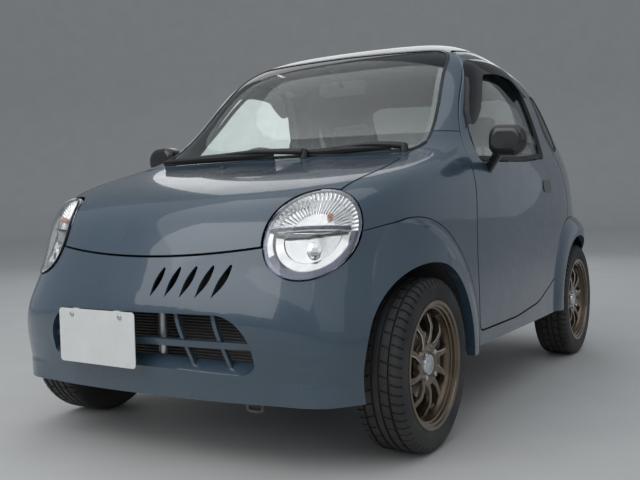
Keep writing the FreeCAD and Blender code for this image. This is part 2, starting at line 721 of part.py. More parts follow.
def knuckle():
    """The left upright with its spindle, caliper and strut, around the kingpin line."""
    y = FRONT_AXLE_Y
    line = KINGPIN_TOP - KINGPIN_LOW
    line.normalize()
    ball_r = KINGPIN_LOW.z - ARM_TOP - FIT
    top_r = 12.0
    top = KINGPIN_TOP + line * ((TOWER_Z - FIT - top_r - KINGPIN_TOP.z) / line.z)
    upright = box(598, 622, y - 40, y + 60, 200, 330)
    disc_x = FRONT_WHEEL_X + 12
    caliper = box(600, disc_x + 25, y + 52, y + 122, 215, 320)
    caliper = caliper.cut(rod(V(disc_x - 6, y, AXLE_Z), V(disc_x + 18, y, AXLE_Z), BRAKE_R + 6))
    pieces = [Part.makeSphere(ball_r, KINGPIN_LOW), rod(KINGPIN_LOW, KINGPIN_LOW + line * 30, 9),
              box(560, 600, y - 30, y + 30, 290, 350), caliper,
              rod(V(600, y, AXLE_Z), V(FRONT_WHEEL_X + 30 - FIT, y, AXLE_Z), SPINDLE_R - RUNNING_FIT),
              rod(KINGPIN_LOW + line * 110, KINGPIN_TOP - line * 120, 23),
              rod(KINGPIN_TOP - line * 121, top, 10), Part.makeSphere(top_r, top),
              rod(KINGPIN_TOP - line * 160, KINGPIN_TOP - line * 8, 48)]
    return solids(upright.fuse(pieces))


def rear_axle():
    """A beam with two trailing links, dampers and spring seats."""
    beam = rod(V(-600, REAR_AXLE_Y, AXLE_Z), V(600, REAR_AXLE_Y, AXLE_Z), 30)
    hub = V(440, REAR_AXLE_Y, AXLE_Z)
    pivot = V(440, REAR_AXLE_Y - 400, AXLE_Z - 20)
    left = [rod(hub, pivot, 20), rod(pivot - Z * 10, pivot + Z * 250, 24),
            rod(hub + Y * 20, hub + Y * 20 + Z * 250, 45),
            rod(V(590, REAR_AXLE_Y, AXLE_Z), V(616, REAR_AXLE_Y, AXLE_Z), 70),
            rod(V(600, REAR_AXLE_Y, AXLE_Z), V(REAR_WHEEL_X - 16 - FIT, REAR_AXLE_Y, AXLE_Z), 25)]
    whole = beam.fuse(left + [mirrored(piece) for piece in left])
    return solids(whole.common(under_floor()))


def exhaust():
    """A pipe from the engine to a silencer across the tail, with its hangers."""
    line = rod(V(200, -680, 195), V(200, 1040, 195), 18)
    pieces = [rod(V(200, -680, 180), V(200, -680, SUBFRAME_TOP), 20),
              rod(V(200, 1030, 195), V(200, 1180, 262), 18),
              rod(V(-60, 1180, 280), V(420, 1180, 280), 75),
              rod(V(380, 1180, 250), V(380, TAIL_Y - 30, 225), 18)]
    for x, y in ((200, 0), (0, 1180), (350, 1180)):
        pieces.append(box(x - 8, x + 8, y - 8, y + 8, 200, 500))
    return solids(line.fuse(pieces).common(under_floor()))


def fuel_tank():
    tank = box(-330, 150, 60, 460, 165, FLOOR_Z - FLOOR - FIT)
    return tank.makeFillet(25, [e for e in tank.Edges if e.BoundBox.ZLength > 50])


# Cabin

def dashboard():
    profile = from_side([(-560, 640, 0), (-560, 880, 20), (-330, 905, 40), (-255, 850, 40),
                         (-235, 720, 60), (-330, 600, 40)], -1000, 1000)
    axis = steering_axis()
    column = rod(STEERING_CENTRE - axis * 180, STEERING_CENTRE - axis * (HUB_DEPTH + FIT), 28)
    return solids(profile.common(skin(CAB_WALL + FIT)).fuse(column).common(over_floor()))


def steering_axis():
    tilt = math.radians(STEERING_TILT)
    return V(0, math.cos(tilt), math.sin(tilt))


def seat(x):
    cushion = box(x - 240, x + 240, -40, 440, 400, 520)
    cushion = cushion.makeFillet(40, cushion.Edges)
    back = from_side([(380, 470, 40), (520, 960, 50), (640, 960, 50), (480, 470, 40)],
                     x - 235, x + 235)
    head = box(x - 120, x + 120, 560, 650, 985, 1150)
    head = head.makeFillet(35, head.Edges)
    posts = [rod(V(x + s, 585, 930), V(x + s, 605, 1000), 7) for s in (-50, 50)]
    rails = [box(x + s - 15, x + s + 15, 0, 400, FLOOR_Z + FIT, 405) for s in (-180, 180)]
    return solids(cushion.fuse([back, head] + posts + rails))


def front_seats():
    return pair(seat(320))


def rear_bench():
    cushion = box(-470, 470, 760, 1080, 380, 560)
    cushion = cushion.makeFillet(35, cushion.Edges)
    back = from_side([(1020, 500, 30), (1090, 880, 40), (1170, 880, 40), (1110, 500, 30)], -470, 470)
    return solids(cushion.fuse(back).common(over_floor()))


def steering_wheel():
    ring_ = Part.makeTorus(STEERING_R, 14)
    hub = Part.makeCylinder(52, 45, V(0, 0, -HUB_DEPTH), Z)
    spokes = [rod(V(0, 0, -30), V((STEERING_R - 6) * math.cos(a), (STEERING_R - 6) * math.sin(a), 0), 12)
              for a in (math.radians(15), math.radians(165), math.radians(270))]
    wheel = ring_.fuse([hub] + spokes)
    wheel.rotate(V(0, 0, 0), X, -(90 - STEERING_TILT))
    wheel.translate(STEERING_CENTRE)
    return solids(wheel)


def interior_mirror():
    housing = from_front([(-110, 1205, 20), (-110, 1262, 25), (110, 1262, 25), (110, 1205, 20)], -75, -50)
    stalk = rod(V(0, -70, 1240), V(0, -310, 1390), 8)
    return solids(housing.fuse(stalk).common(skin(3 + GLASS + FIT)))


def wipers():
    """Two arms with blades that rest along the foot of the windscreen."""
    pieces = []
    for pivot, middle, tip in ((V(150, -640, 935), V(-20, -605, 955), V(-480, -640, 925)),
                               (V(520, -600, 940), V(400, -598, 950), V(120, -630, 945))):
        arm = rod(pivot, middle, 6).fuse(rod(middle, tip, 5))
        cap = Part.makeCylinder(14, 30, pivot - V(0, 0, 22), Z)
        pieces.append(solids(arm.fuse(cap).cut(skin(-FIT))))
    return Part.makeCompound(pieces)


# Wheels, drawn about their own axis and then placed

def wheel_profile(points):
    """A closed profile in (x, radius), turned about the wheel's axis."""
    face = Part.Face(Part.makePolygon([V(x, 0, r) for x, r in points] + [V(points[0][0], 0, points[0][1])]))
    return face.revolve(V(0, 0, 0), X, 360)


def tyre():
    """A hollow tyre: tread, rounded shoulders, sidewalls and beads."""
    half, wall = TYRE_WIDTH / 2, TYRE_WALL
    bead = 60.0

    def section(inset):
        w, top = half - inset, TYRE_R - inset
        return [V(-bead, 0, BEAD_R), V(-w, 0, BEAD_R + 45), V(-w + 6, 0, top - 12),
                V(-w + 18, 0, top), V(w - 18, 0, top), V(w - 6, 0, top - 12),
                V(w, 0, BEAD_R + 45), V(bead, 0, BEAD_R)]
    outer = section(0)
    inner = [V(bead - 12, 0, BEAD_R)] + list(reversed(section(wall)[1:-1])) + [V(-bead + 12, 0, BEAD_R)]
    face = Part.Face(Part.makePolygon(outer + inner + [outer[0]]))
    return face.revolve(V(0, 0, 0), X, 360)


def rim():
    """A barrel with bead seats, joined to the hub by curved spokes."""
    seat_r = BEAD_R - FIT
    barrel = wheel_profile([(-74, RIM_R - 5), (-70, seat_r - RIM_WALL), (-40, seat_r - RIM_WALL),
                            (-25, 160), (35, 160), (50, seat_r - RIM_WALL - 2), (72, seat_r - RIM_WALL),
                            (76, RIM_R), (70, RIM_R), (62, seat_r), (48, seat_r), (36, 165),
                            (-26, 165), (-42, seat_r), (-62, seat_r), (-69, RIM_R - 5)])
    hub = Part.makeCylinder(HUB_R, 30, V(30, 0, 0), X)
    hub = hub.cut(Part.makeCylinder(30, 10, V(52, 0, 0), X))
    pieces = [hub]
    for i in range(SPOKES):
        spoke = Part.Face(rounded([(-15, 38, 0), (15, 38, 0), (34, 110, 150), (36, 168, 60),
                                   (12, 168, 0), (8, 110, 120)]).OuterWire)
        blade = prism(spoke, Y, Z, 44, 62)
        blade.rotate(V(0, 0, 0), X, i * 360.0 / SPOKES)
        pieces.append(blade)
    return solids(barrel.fuse(pieces))


def brake_disc():
    plate = Part.makeCylinder(BRAKE_R, 12, V(12, 0, 0), X)
    hat = Part.makeCylinder(45, 18 - FIT, V(12, 0, 0), X)
    return plate.fuse(hat).cut(Part.makeCylinder(SPINDLE_R, 60, V(0, 0, 0), X))


def brake_drum():
    return Part.makeCylinder(92, 46 - FIT, V(-16, 0, 0), X)


def placed_wheel(shape, x, y, side):
    shape = shape.copy()
    shape.translate(V(x, 0, AXLE_Z))
    if side < 0:
        shape = mirrored(shape)
    shape.translate(V(0, y, 0))
    return shape


# All pieces by name

def all_pieces():
    pieces = {
        "cab_shell": cab_shell(), "wheel_housings": wheel_housings(), "floor_pan": floor_pan(),
        "front_frame": front_frame(), "front_bumper": solids(front_bumper()), "grille": grille(),
        "number_plate": number_plate(), "front_fenders": front_fenders(),
        "rear_bumper": rear_bumper(), "headlamp_bodies": headlamp_bodies(),
        "headlamp_lenses": headlamp_lenses(), "tail_lamps": tail_lamps(),
        "windscreen": windscreen(), "quarter_windows": quarter_windows(),
        "engine_block": engine_block(), "radiator": radiator(), "exhaust": exhaust(),
        "fuel_tank": fuel_tank(), "front_subframe": front_subframe(), "rear_axle": rear_axle(),
        "dashboard": dashboard(), "front_seats": front_seats(), "rear_bench": rear_bench(),
        "interior_mirror": interior_mirror(), "wipers": wipers(),
        "steering_wheel": steering_wheel(), "bonnet": bonnet(), "hatch_glass": hatch_glass(),
    }
    doors = {"shell": door_shell(), "glass": door_glass(), "mirror": door_mirror(),
             "handle": door_handle()}
    upright = knuckle()
    wheel = {"tyre": tyre(), "rim": rim(), "disc": brake_disc(), "drum": brake_drum()}
    for side, name in ((1, "left"), (-1, "right")):
        for piece, shape in doors.items():
            pieces["door_%s_%s" % (piece, name)] = shape if side > 0 else mirrored(shape)
        pieces["knuckle_" + name] = upright if side > 0 else mirrored(upright)
        for end, x, y, brake in (("front", FRONT_WHEEL_X, FRONT_AXLE_Y, "disc"),
                                 ("rear", REAR_WHEEL_X, REAR_AXLE_Y, "drum")):
            for piece in ("tyre", "rim", brake):
                key = "%s_%s_%s" % (piece, end, name)
                pieces[key] = placed_wheel(wheel[piece], x, y, side)
    return pieces


os.makedirs("parts", exist_ok=True)
for name, shape in all_pieces().items():
    shape.exportStep("parts/%s.step" % name)
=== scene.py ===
"""Looks of a small hatchback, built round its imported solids. Lengths in metres."""
import math

import bmesh
import bpy
from bpy.props import FloatProperty, FloatVectorProperty, IntProperty, PointerProperty
from mathutils import Matrix, Vector


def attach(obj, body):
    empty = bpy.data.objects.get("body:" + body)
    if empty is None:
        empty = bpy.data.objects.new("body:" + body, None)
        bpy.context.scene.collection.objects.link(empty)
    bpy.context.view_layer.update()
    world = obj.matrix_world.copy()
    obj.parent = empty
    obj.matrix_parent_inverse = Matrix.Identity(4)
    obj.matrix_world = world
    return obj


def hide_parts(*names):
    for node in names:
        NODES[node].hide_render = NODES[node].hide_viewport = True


bl_info = {
    "name": "Small hatchback looks",
    "version": (1, 0, 0),
    "blender": (4, 5, 0),
    "location": "3D View > Sidebar > Hatchback",
    "description": "Finishes, wheels, lamps, trim and cabin of a small hatchback, with its studio",
    "category": "Object",
}

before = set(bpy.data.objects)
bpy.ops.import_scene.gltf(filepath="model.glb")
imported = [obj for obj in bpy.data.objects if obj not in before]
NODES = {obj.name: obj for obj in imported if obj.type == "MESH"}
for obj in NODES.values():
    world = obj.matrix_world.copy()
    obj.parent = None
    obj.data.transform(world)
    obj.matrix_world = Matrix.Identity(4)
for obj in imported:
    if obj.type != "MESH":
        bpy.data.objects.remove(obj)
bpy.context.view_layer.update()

X_AXIS = Vector((1, 0, 0))
UP = Vector((0, 0, 1))
MIRROR = Matrix.Scale(-1, 4, X_AXIS)
FRONT_WHEEL = Vector((0.653, -0.855, 0.263))
REAR_WHEEL = Vector((0.643, 0.945, 0.263))


def mm(*points):
    """Points given in millimetres."""
    return [tuple(value / 1000 for value in point) for point in points]


# Selecting and shaping

def object_mode():
    if bpy.context.object and bpy.context.object.mode != "OBJECT":
        bpy.ops.object.mode_set(mode="OBJECT")


def clear():
    object_mode()
    bpy.ops.object.select_all(action="DESELECT")


def only(*pieces):
    """Selects these pieces alone, the first one active."""
    clear()
    for piece in pieces:
        piece.select_set(True)
    bpy.context.view_layer.objects.active = pieces[0]


def named(name):
    """Gives the new primitive its name."""
    piece = bpy.context.object
    piece.name = name
    piece.data.name = name
    return piece


def edit(piece):
    """Opens a piece in edit mode with all of it selected."""
    only(piece)
    bpy.ops.object.mode_set(mode="EDIT")
    bpy.ops.mesh.select_all(action="SELECT")


def choose(piece, test, kind="FACE"):
    """Selects what passes the test: faces by middle and normal, edges by their two ends."""
    bpy.ops.mesh.select_mode(type=kind)
    bpy.ops.mesh.select_all(action="DESELECT")
    form = bmesh.from_edit_mesh(piece.data)
    if kind == "FACE":
        chosen = [face for face in form.faces if test(face.calc_center_median(), face.normal)]
    else:
        chosen = [edge for edge in form.edges if test(edge.verts[0].co, edge.verts[1].co)]
    for item in chosen:
        item.select_set(True)
    bmesh.update_edit_mesh(piece.data)


def clean(piece, distance=0.00002):
    """Merges doubles and turns every face outwards."""
    edit(piece)
    bpy.ops.mesh.remove_doubles(threshold=distance)
    bpy.ops.mesh.normals_make_consistent(inside=False)
    object_mode()
    return piece


def flip(piece):
    edit(piece)
    bpy.ops.mesh.flip_normals()
    object_mode()


def smooth(piece, angle):
    only(piece)
    bpy.ops.object.shade_smooth_by_angle(angle=math.radians(angle))
    return piece


def dress(piece, key, angle=None):
    """Gives a piece its finish and, with an angle, smooth shading."""
    piece.data.materials.clear()
    piece.data.materials.append(FINISH[key])
    return smooth(piece, angle) if angle else piece


def apply(piece, kind, **values):
    """Adds a modifier with these values and applies it."""
    only(piece)
    change = piece.modifiers.new(kind.lower(), kind)
    for key, value in values.items():
        setattr(change, key, value)
    bpy.ops.object.modifier_apply(modifier=change.name)
    return piece


def bevel(piece, width, segments=3):
    return apply(piece, "BEVEL", width=width, segments=segments, limit_method="ANGLE",
                 angle_limit=math.radians(40))


def join(name, pieces):
    only(*pieces)
    bpy.ops.object.join()
    return named(name)


def place_points(piece, places):
    for point, place in zip(piece.data.vertices, places):
        point.co = place


def block(name, low, high, key, radius=0.004, segments=3):
    """A bar or plate between two corners, with rounded edges."""
    clear()
    low, high = Vector(low), Vector(high)
    bpy.ops.mesh.primitive_cube_add(size=1, location=(low + high) / 2)
    piece = named(name)
    piece.scale = high - low
    bpy.ops.object.transform_apply(location=True, rotation=True, scale=True)
    return dress(bevel(piece, radius, segments), key)


def turned(name, profile, centre, key, axis=X_AXIS, steps=64, angle=40):
    """A closed profile of (along, out) in millimetres, turned about an axis through centre."""
    clear()
    bpy.ops.mesh.primitive_circle_add(vertices=len(profile), radius=0.1)
    piece = named(name)
    centre, axis = Vector(centre), Vector(axis).normalized()
    start = X_AXIS if axis == UP else UP
    out = (start - axis * start.dot(axis)).normalized()
    place_points(piece, [centre + axis * along + out * reach for along, reach in mm(*profile)])
    edit(piece)
    bpy.ops.mesh.spin(steps=steps, angle=math.tau, center=centre, axis=axis)
    return dress(clean(piece), key, angle)


def round_bar(name, points, radius, key, angle=None, sides=6, taper=None):
    """A smooth round bar along a few points, closed at its ends."""
    clear()
    bpy.ops.curve.primitive_nurbs_path_add(radius=1, location=(0, 0, 0))
    bar = named(name)
    bar.data.splines.clear()
    spline = bar.data.splines.new("NURBS")
    spline.points.add(len(points) - 1)
    for i, (point, place) in enumerate(zip(spline.points, points)):
        point.co = (*place, 1)
        point.radius = taper[i] if taper else 1
    spline.order_u = 3
    spline.use_endpoint_u = True
    bar.data.bevel_depth = radius
    bar.data.bevel_resolution = sides
    bar.data.use_fill_caps = True
    only(bar)
    bpy.ops.object.convert(target="MESH")
    return dress(clean(named(name)), key, angle)


def copied(name, piece, matrix=MIRROR):
    """A copy with its own mesh, mirrored or moved by a matrix."""
    only(piece)
    bpy.ops.object.duplicate()
    copy = named(name)
    copy.data.transform(matrix)
    if matrix.determinant() < 0:
        flip(copy)
    return copy


def both_sides(piece):
    """A left piece and its mirror image, named by side."""
    right = copied(f"{piece.name}_right", piece)
    piece.name = f"{piece.name}_left"
    return piece, right


def hand_over(piece, body, node=None):
    """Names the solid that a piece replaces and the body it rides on."""
    if node:
        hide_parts(node)
    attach(piece, body)


def sheet(name, rows):
    """A curved surface through rows of points."""
    clear()
    bpy.ops.mesh.primitive_grid_add(x_subdivisions=len(rows[0]) - 1, y_subdivisions=len(rows) - 1,
                                    size=1)
    piece = named(name)
    place_points(piece, [place for row in rows for place in row])
    return clean(piece)


def strip(name, rows, thickness, key, angle):
    """A thin curved plate, thickened to both sides of the surface through its rows."""
    return dress(apply(sheet(name, rows), "SOLIDIFY", thickness=thickness, offset=0), key, angle)


def on_skin(x, y, *nodes, lift=0.0, down=(0, 0, -1)):
    """The point of these nodes that is met first from outside, lifted off along its normal."""
    down = Vector(down)
    best, out = None, None
    start = [x, y]
    start.insert(max(range(3), key=lambda i: abs(down[i])), 0.0)
    start = Vector(start) - down * 3
    for node in nodes:
        hit, place, normal, _ = NODES[node].ray_cast(start, down)
        if hit and (best is None or (place - start).length < (best - start).length):
            best, out = place.copy(), normal.copy()
    if best is None:
        raise RuntimeError(f"no surface of {nodes} at {x:.3f}, {y:.3f}")
    if out.dot(down) > 0:
        out.negate()
    return best + out * lift


def curve_value(table, place):
    """The value at a place in a table of (place, value), smooth between its rows."""
    if place <= table[0][0]:
        return table[0][1]
    for (a, low), (b, high) in zip(table, table[1:]):
        if place <= b:
            t = (place - a) / (b - a)
            return low + (high - low) * t * t * (3 - 2 * t)
    return table[-1][1]


# Shader groups

GROUPS = {}
GREY = (0.1, 0.1, 0.1, 1)


class Nodes:
    """Short calls to place and link nodes in one tree."""

    def __init__(self, tree):
        self.tree = tree

    def put(self, socket, value):
        """Links a socket, or sets its constant."""
        if isinstance(value, bpy.types.NodeSocket):
            self.tree.links.new(value, socket)
        else:
            socket.default_value = (*value[:3], 1) if socket.type == "RGBA" else value

    def feed(self, node, **values):
        """Fills the sockets of these names, _ for a space, and gives the node's outputs."""
        for label, value in values.items():
            self.put(node.inputs[label.replace("_", " ")], value)
        return node.outputs

    def add(self, kind, inputs=None, **settings):
        node = self.tree.nodes.new(f"ShaderNode{kind}")
        for key, value in settings.items():
            setattr(node, key, value)
        for key, value in (inputs or {}).items():
            self.put(node.inputs[key], value)
        return node

    def group(self, key, **values):
        return self.feed(self.add("Group", node_tree=GROUPS[key]), **values)

    def math(self, operation, a, b=0.5, c=0.5, clamp=False):
        return self.add("Math", {0: a, 1: b, 2: c}, operation=operation, use_clamp=clamp).outputs[0]

    def mix(self, amount, a, b):
        return self.add("Mix", {"Factor": amount, 6: a, 7: b}, data_type="RGBA").outputs[2]

    def noise(self, place, scale, detail=2, rough=0.5):
        return self.feed(self.add("TexNoise"), Vector=place, Scale=scale, Detail=detail,
                         Roughness=rough)["Fac"]

    def span(self, value, low, high, out_low=0, out_high=1):
        """Maps a range of values to another one, with soft ends."""
        return self.feed(self.add("MapRange", interpolation_type="SMOOTHSTEP"), Value=value,
                         From_Min=low, From_Max=high, To_Min=out_low, To_Max=out_high)["Result"]

    def split(self, place):
        return self.add("SeparateXYZ", {0: place}).outputs

    def bump(self, height, strength, distance):
        return self.feed(self.add("Bump"), Height=height, Strength=strength,
                         Distance=distance)["Normal"]


def new_group(key, name, inputs, outputs):
    """A shared group, with defaults: None for a place, a tuple for a colour."""
    tree = GROUPS[key] = bpy.data.node_groups.new(name, "ShaderNodeTree")
    for label, default in inputs.items():
        kind = "Vector" if default is None else "Color" if isinstance(default, tuple) else "Float"
        socket = tree.interface.new_socket(name=label, in_out="INPUT",
                                           socket_type=f"NodeSocket{kind}")
        if default is not None:
            socket.default_value = default
    for label, kind in outputs.items():
        tree.interface.new_socket(name=label, in_out="OUTPUT", socket_type=f"NodeSocket{kind}")
    return Nodes(tree), tree.nodes.new("NodeGroupInput").outputs, tree.nodes.new("NodeGroupOutput")


def make_grain_group():
    """Fine moulded or sprayed grain: a height, and a slow change of gloss."""
    n, given, end = new_group("grain", "surface grain", {"Place": None, "Scale": 900.0, "Wave": 0.2},
                              {"Height": "Float", "Change": "Float"})
    fine = n.noise(given["Place"], given["Scale"], 1)
    wide = n.noise(given["Place"], 9)
    n.feed(end, Height=n.math("MULTIPLY_ADD", wide, given["Wave"], fine), Change=wide)


def make_dust_group():
    """Road dust: thicker low down and in patches, laid over a colour."""
    n, given, end = new_group(
        "dust", "road dust",
        {"Place": None, "Colour": GREY, "Dust": (0.24, 0.21, 0.18, 1), "Amount": 0.3, "Top": 0.5},
        {"Colour": "Color", "Mask": "Float"})
    low = n.span(n.split(given["Place"])["Z"], given["Top"], 0.05)
    patch = n.span(n.noise(given["Place"], 7, 4, 0.6), 0.35, 0.7, 0.35)
    mask = n.math("MULTIPLY", n.math("MULTIPLY", low, patch), given["Amount"], clamp=True)
    n.feed(end, Mask=mask, Colour=n.mix(mask, given["Colour"], given["Dust"]))


def make_mottle_group():
    """A colour that is a little darker and lighter in slow patches."""
    n, given, end = new_group("mottle", "mottled colour",
                              {"Place": None, "Colour": GREY, "Amount": 0.15, "Scale": 12.0},
                              {"Colour": "Color"})
    patch = n.span(n.noise(given["Place"], given["Scale"], 3), 0.3, 0.7)
    dark, light = (n.add("HueSaturation", {"Color": given["Colour"],
                                           "Value": n.math(change, 1, given["Amount"])}).outputs[0]
                   for change in ("SUBTRACT", "ADD"))
    n.feed(end, Colour=n.mix(patch, dark, light))


def make_weave_group():
    """A plain woven cloth: crossing threads as a height, and a slow random change of tone."""
    n, given, end = new_group("weave", "woven cloth", {"Place": None, "Threads": 420.0},
                              {"Height": "Float", "Shade": "Float"})
    split = n.split(given["Place"])
    lean = n.math("MULTIPLY", split["Y"], 0.5)
    pace = n.math("MULTIPLY", given["Threads"], 6.283)
    warp, weft = (n.math("SINE", n.math("MULTIPLY", n.math("ADD", split[key], lean), pace))
                  for key in "XZ")
    n.feed(end, Height=n.math("MULTIPLY_ADD", n.math("MULTIPLY", warp, weft), 0.5, 0.5),
           Shade=n.span(n.noise(given["Place"], 160), 0.3, 0.7, 0.7, 1.15))


# Finishes

FINISH = {}
# Panels facing this point of the cabin show their lining
LINED_ROUND = (0, 0.25, 0.75)
DARK_LINING = (0.05, 0.05, 0.05)
CLEAR_TINT = (0.80, 0.86, 0.84)
SMOKED_TINT = (0.10, 0.11, 0.115)
SOOT = (0.022, 0.022, 0.024)


def begin(name, **values):
    """A material with its shader; values go to the shader's own sockets."""
    finish = bpy.data.materials.new(name)
    finish.use_nodes = True
    finish.node_tree.nodes.clear()
    n = Nodes(finish.node_tree)
    shader = n.add("BsdfPrincipled")
    n.add("OutputMaterial", {"Surface": shader.outputs["BSDF"]})
    n.feed(shader, **values)
    return finish, n, shader, n.add("TexCoord").outputs["Object"]


def moulded(name, colour, rough, grain=1400, depth=0.00025, mottle=0.12, dust=0, top=0.45,
            spread=0.08, **values):
    """A moulded, cast or painted finish with grain, slow changes of tone and road dust."""
    finish, n, shader, place = begin(name, **values)
    tone = n.group("mottle", Place=place, Colour=colour, Amount=mottle)["Colour"]
    skin = n.group("grain", Place=place, Scale=grain)
    gloss = n.span(skin["Change"], 0.3, 0.7, rough - spread, rough + spread)
    if dust:
        film = n.group("dust", Place=place, Colour=tone, Amount=dust, Top=top)
        tone = film["Colour"]
        gloss = n.math("ADD", gloss, n.math("MULTIPLY", film["Mask"], 0.35), clamp=True)
    n.feed(shader, Base_Color=tone, Roughness=gloss, Normal=n.bump(skin["Height"], 0.5, depth))
    return finish


def body_paint(name, colour, lining, side=0):
    """Solid gloss paint with orange peel outside, and matt lining on the faces that look inwards."""
    finish, n, shader, place = begin(name, IOR=1.45, Coat_Roughness=0.03)
    facing = n.add("NewGeometry").outputs["Normal"]
    if side:
        inside = n.span(n.math("MULTIPLY", n.split(facing)["X"], -side), 0.1, 0.3)
    else:
        out = n.add("VectorMath", {0: place, 1: LINED_ROUND}, operation="SUBTRACT").outputs[0]
        away = n.add("VectorMath", {0: out, 1: facing}, operation="DOT_PRODUCT").outputs["Value"]
        inside = n.span(away, -0.02, -0.06)
    tone = n.group("mottle", Place=place, Colour=colour, Amount=0.04, Scale=5)["Colour"]
    film = n.group("dust", Place=place, Colour=tone, Amount=0.03, Top=0.4, Dust=(0.12, 0.12, 0.12))
    cloth = n.group("mottle", Place=place, Colour=lining, Amount=0.1, Scale=260)["Colour"]
    peel = n.group("grain", Place=place, Scale=170, Wave=0)
    rough = n.math("MULTIPLY_ADD", film["Mask"], 0.5, n.span(peel["Change"], 0.3, 0.7, 0.26, 0.34))
    n.feed(shader, Base_Color=n.mix(inside, film["Colour"], cloth),
           Roughness=n.math("MAXIMUM", rough, n.math("MULTIPLY", inside, 0.85)),
           Coat_Weight=n.math("MULTIPLY", n.math("SUBTRACT", 1, inside),
                              n.math("SUBTRACT", 1, film["Mask"])),
           Normal=n.bump(peel["Height"], 0.1, 0.0002))
    return finish


def window_glass(name, tint, band=None, pitch=None):
    """Window glass. Above the height band it is black; pitch is that of its heating wires."""
    finish, n, shader, place = begin(name, IOR=1.45, Transmission_Weight=1)
    tone = n.group("mottle", Place=place, Colour=tint, Amount=0.02)["Colour"]
    split = n.split(place)
    if band:
        edge = n.math("MULTIPLY_ADD", n.math("MULTIPLY", split["X"], split["X"]), 0.3, split["Z"])
        tone = n.mix(n.span(edge, band, band + 0.004), tone, (0.004, 0.004, 0.005))
    if pitch:
        wire = n.math("SINE", n.math("MULTIPLY", split["Z"], math.tau / pitch))
        tone = n.mix(n.span(wire, 0.985, 0.995), tone, (0.12, 0.06, 0.03))
    smear = n.group("grain", Place=place, Scale=30)["Change"]
    n.feed(shader, Base_Color=tone, Roughness=n.span(smear, 0.5, 1, 0, 0.008))
    return finish


def lamp_metal(name, colour, rough):
    """Bright coated reflector metal with faint waves."""
    finish, n, shader, place = begin(name, Metallic=1)
    skin = n.group("grain", Place=place, Scale=60)
    n.feed(shader, Normal=n.bump(skin["Height"], 0.25, 0.0004),
           Base_Color=n.group("mottle", Place=place, Colour=colour, Amount=0.05, Scale=30)["Colour"],
           Roughness=n.span(skin["Change"], 0.3, 0.7, rough * 0.7, rough * 1.3))
    return finish


def red_lens(name):
    """Ribbed lamp plastic: amber on top, red, and clear at the foot."""
    finish, n, shader, place = begin(name, IOR=1.49, Transmission_Weight=0.25, Coat_Weight=0.6)
    height = n.split(place)["Z"]
    tone = n.mix(n.span(height, 0.745, 0.749), (0.42, 0.012, 0.012), (0.75, 0.2, 0.02))
    tone = n.mix(n.span(height, 0.699, 0.695), tone, (0.62, 0.6, 0.58))
    ribs = n.math("SINE", n.math("MULTIPLY", height, 1400))
    n.feed(shader, Base_Color=n.group("mottle", Place=place, Colour=tone, Amount=0.08)["Colour"],
           Roughness=n.span(ribs, -1, 1, 0.08, 0.16), Normal=n.bump(ribs, 0.5, 0.0006))
    return finish


def finned(name, colour, pitch):
    """Thin flat fins across a cooler, with painted shade in the gaps between them."""
    finish, n, shader, place = begin(name, Metallic=0.6)
    fin = n.math("SINE", n.math("MULTIPLY", n.split(place)["Z"], math.tau / pitch))
    # The gaps between the fins take a quarter of the colour: painted shade, mixed with the lit fin
    # colour
    shade = n.mix(n.span(fin, -0.2, 0.8), tuple(c * 0.25 for c in colour), colour)
    n.feed(shader, Normal=n.bump(fin, 0.8, 0.002), Roughness=n.span(fin, -1, 1, 0.6, 0.4),
           Base_Color=n.group("dust", Place=place, Colour=shade, Amount=0.5, Top=0.7)["Colour"])
    return finish


def seat_cloth(name, colour):
    """Woven seat cloth, with painted shade where its threads lie low."""
    finish, n, shader, place = begin(name, Sheen_Weight=0.25, Sheen_Roughness=0.5)
    weave = n.group("weave", Place=place, Threads=380)
    tone = n.group("mottle", Place=place, Colour=colour, Amount=0.15, Scale=6)["Colour"]
    # Darker where the threads lie low: painted shade between the threads, times the weave's random
    # change of tone
    shade = n.math("MULTIPLY", weave["Shade"], n.span(weave["Height"], 0, 1, 0.65, 1.1))
    lit = n.add("HueSaturation", {"Color": tone, "Value": shade})
    n.feed(shader, Base_Color=lit.outputs[0], Roughness=n.span(weave["Shade"], 0.7, 1.15, 0.92, 0.8),
           Normal=n.bump(weave["Height"], 0.6, 0.0008))
    return finish


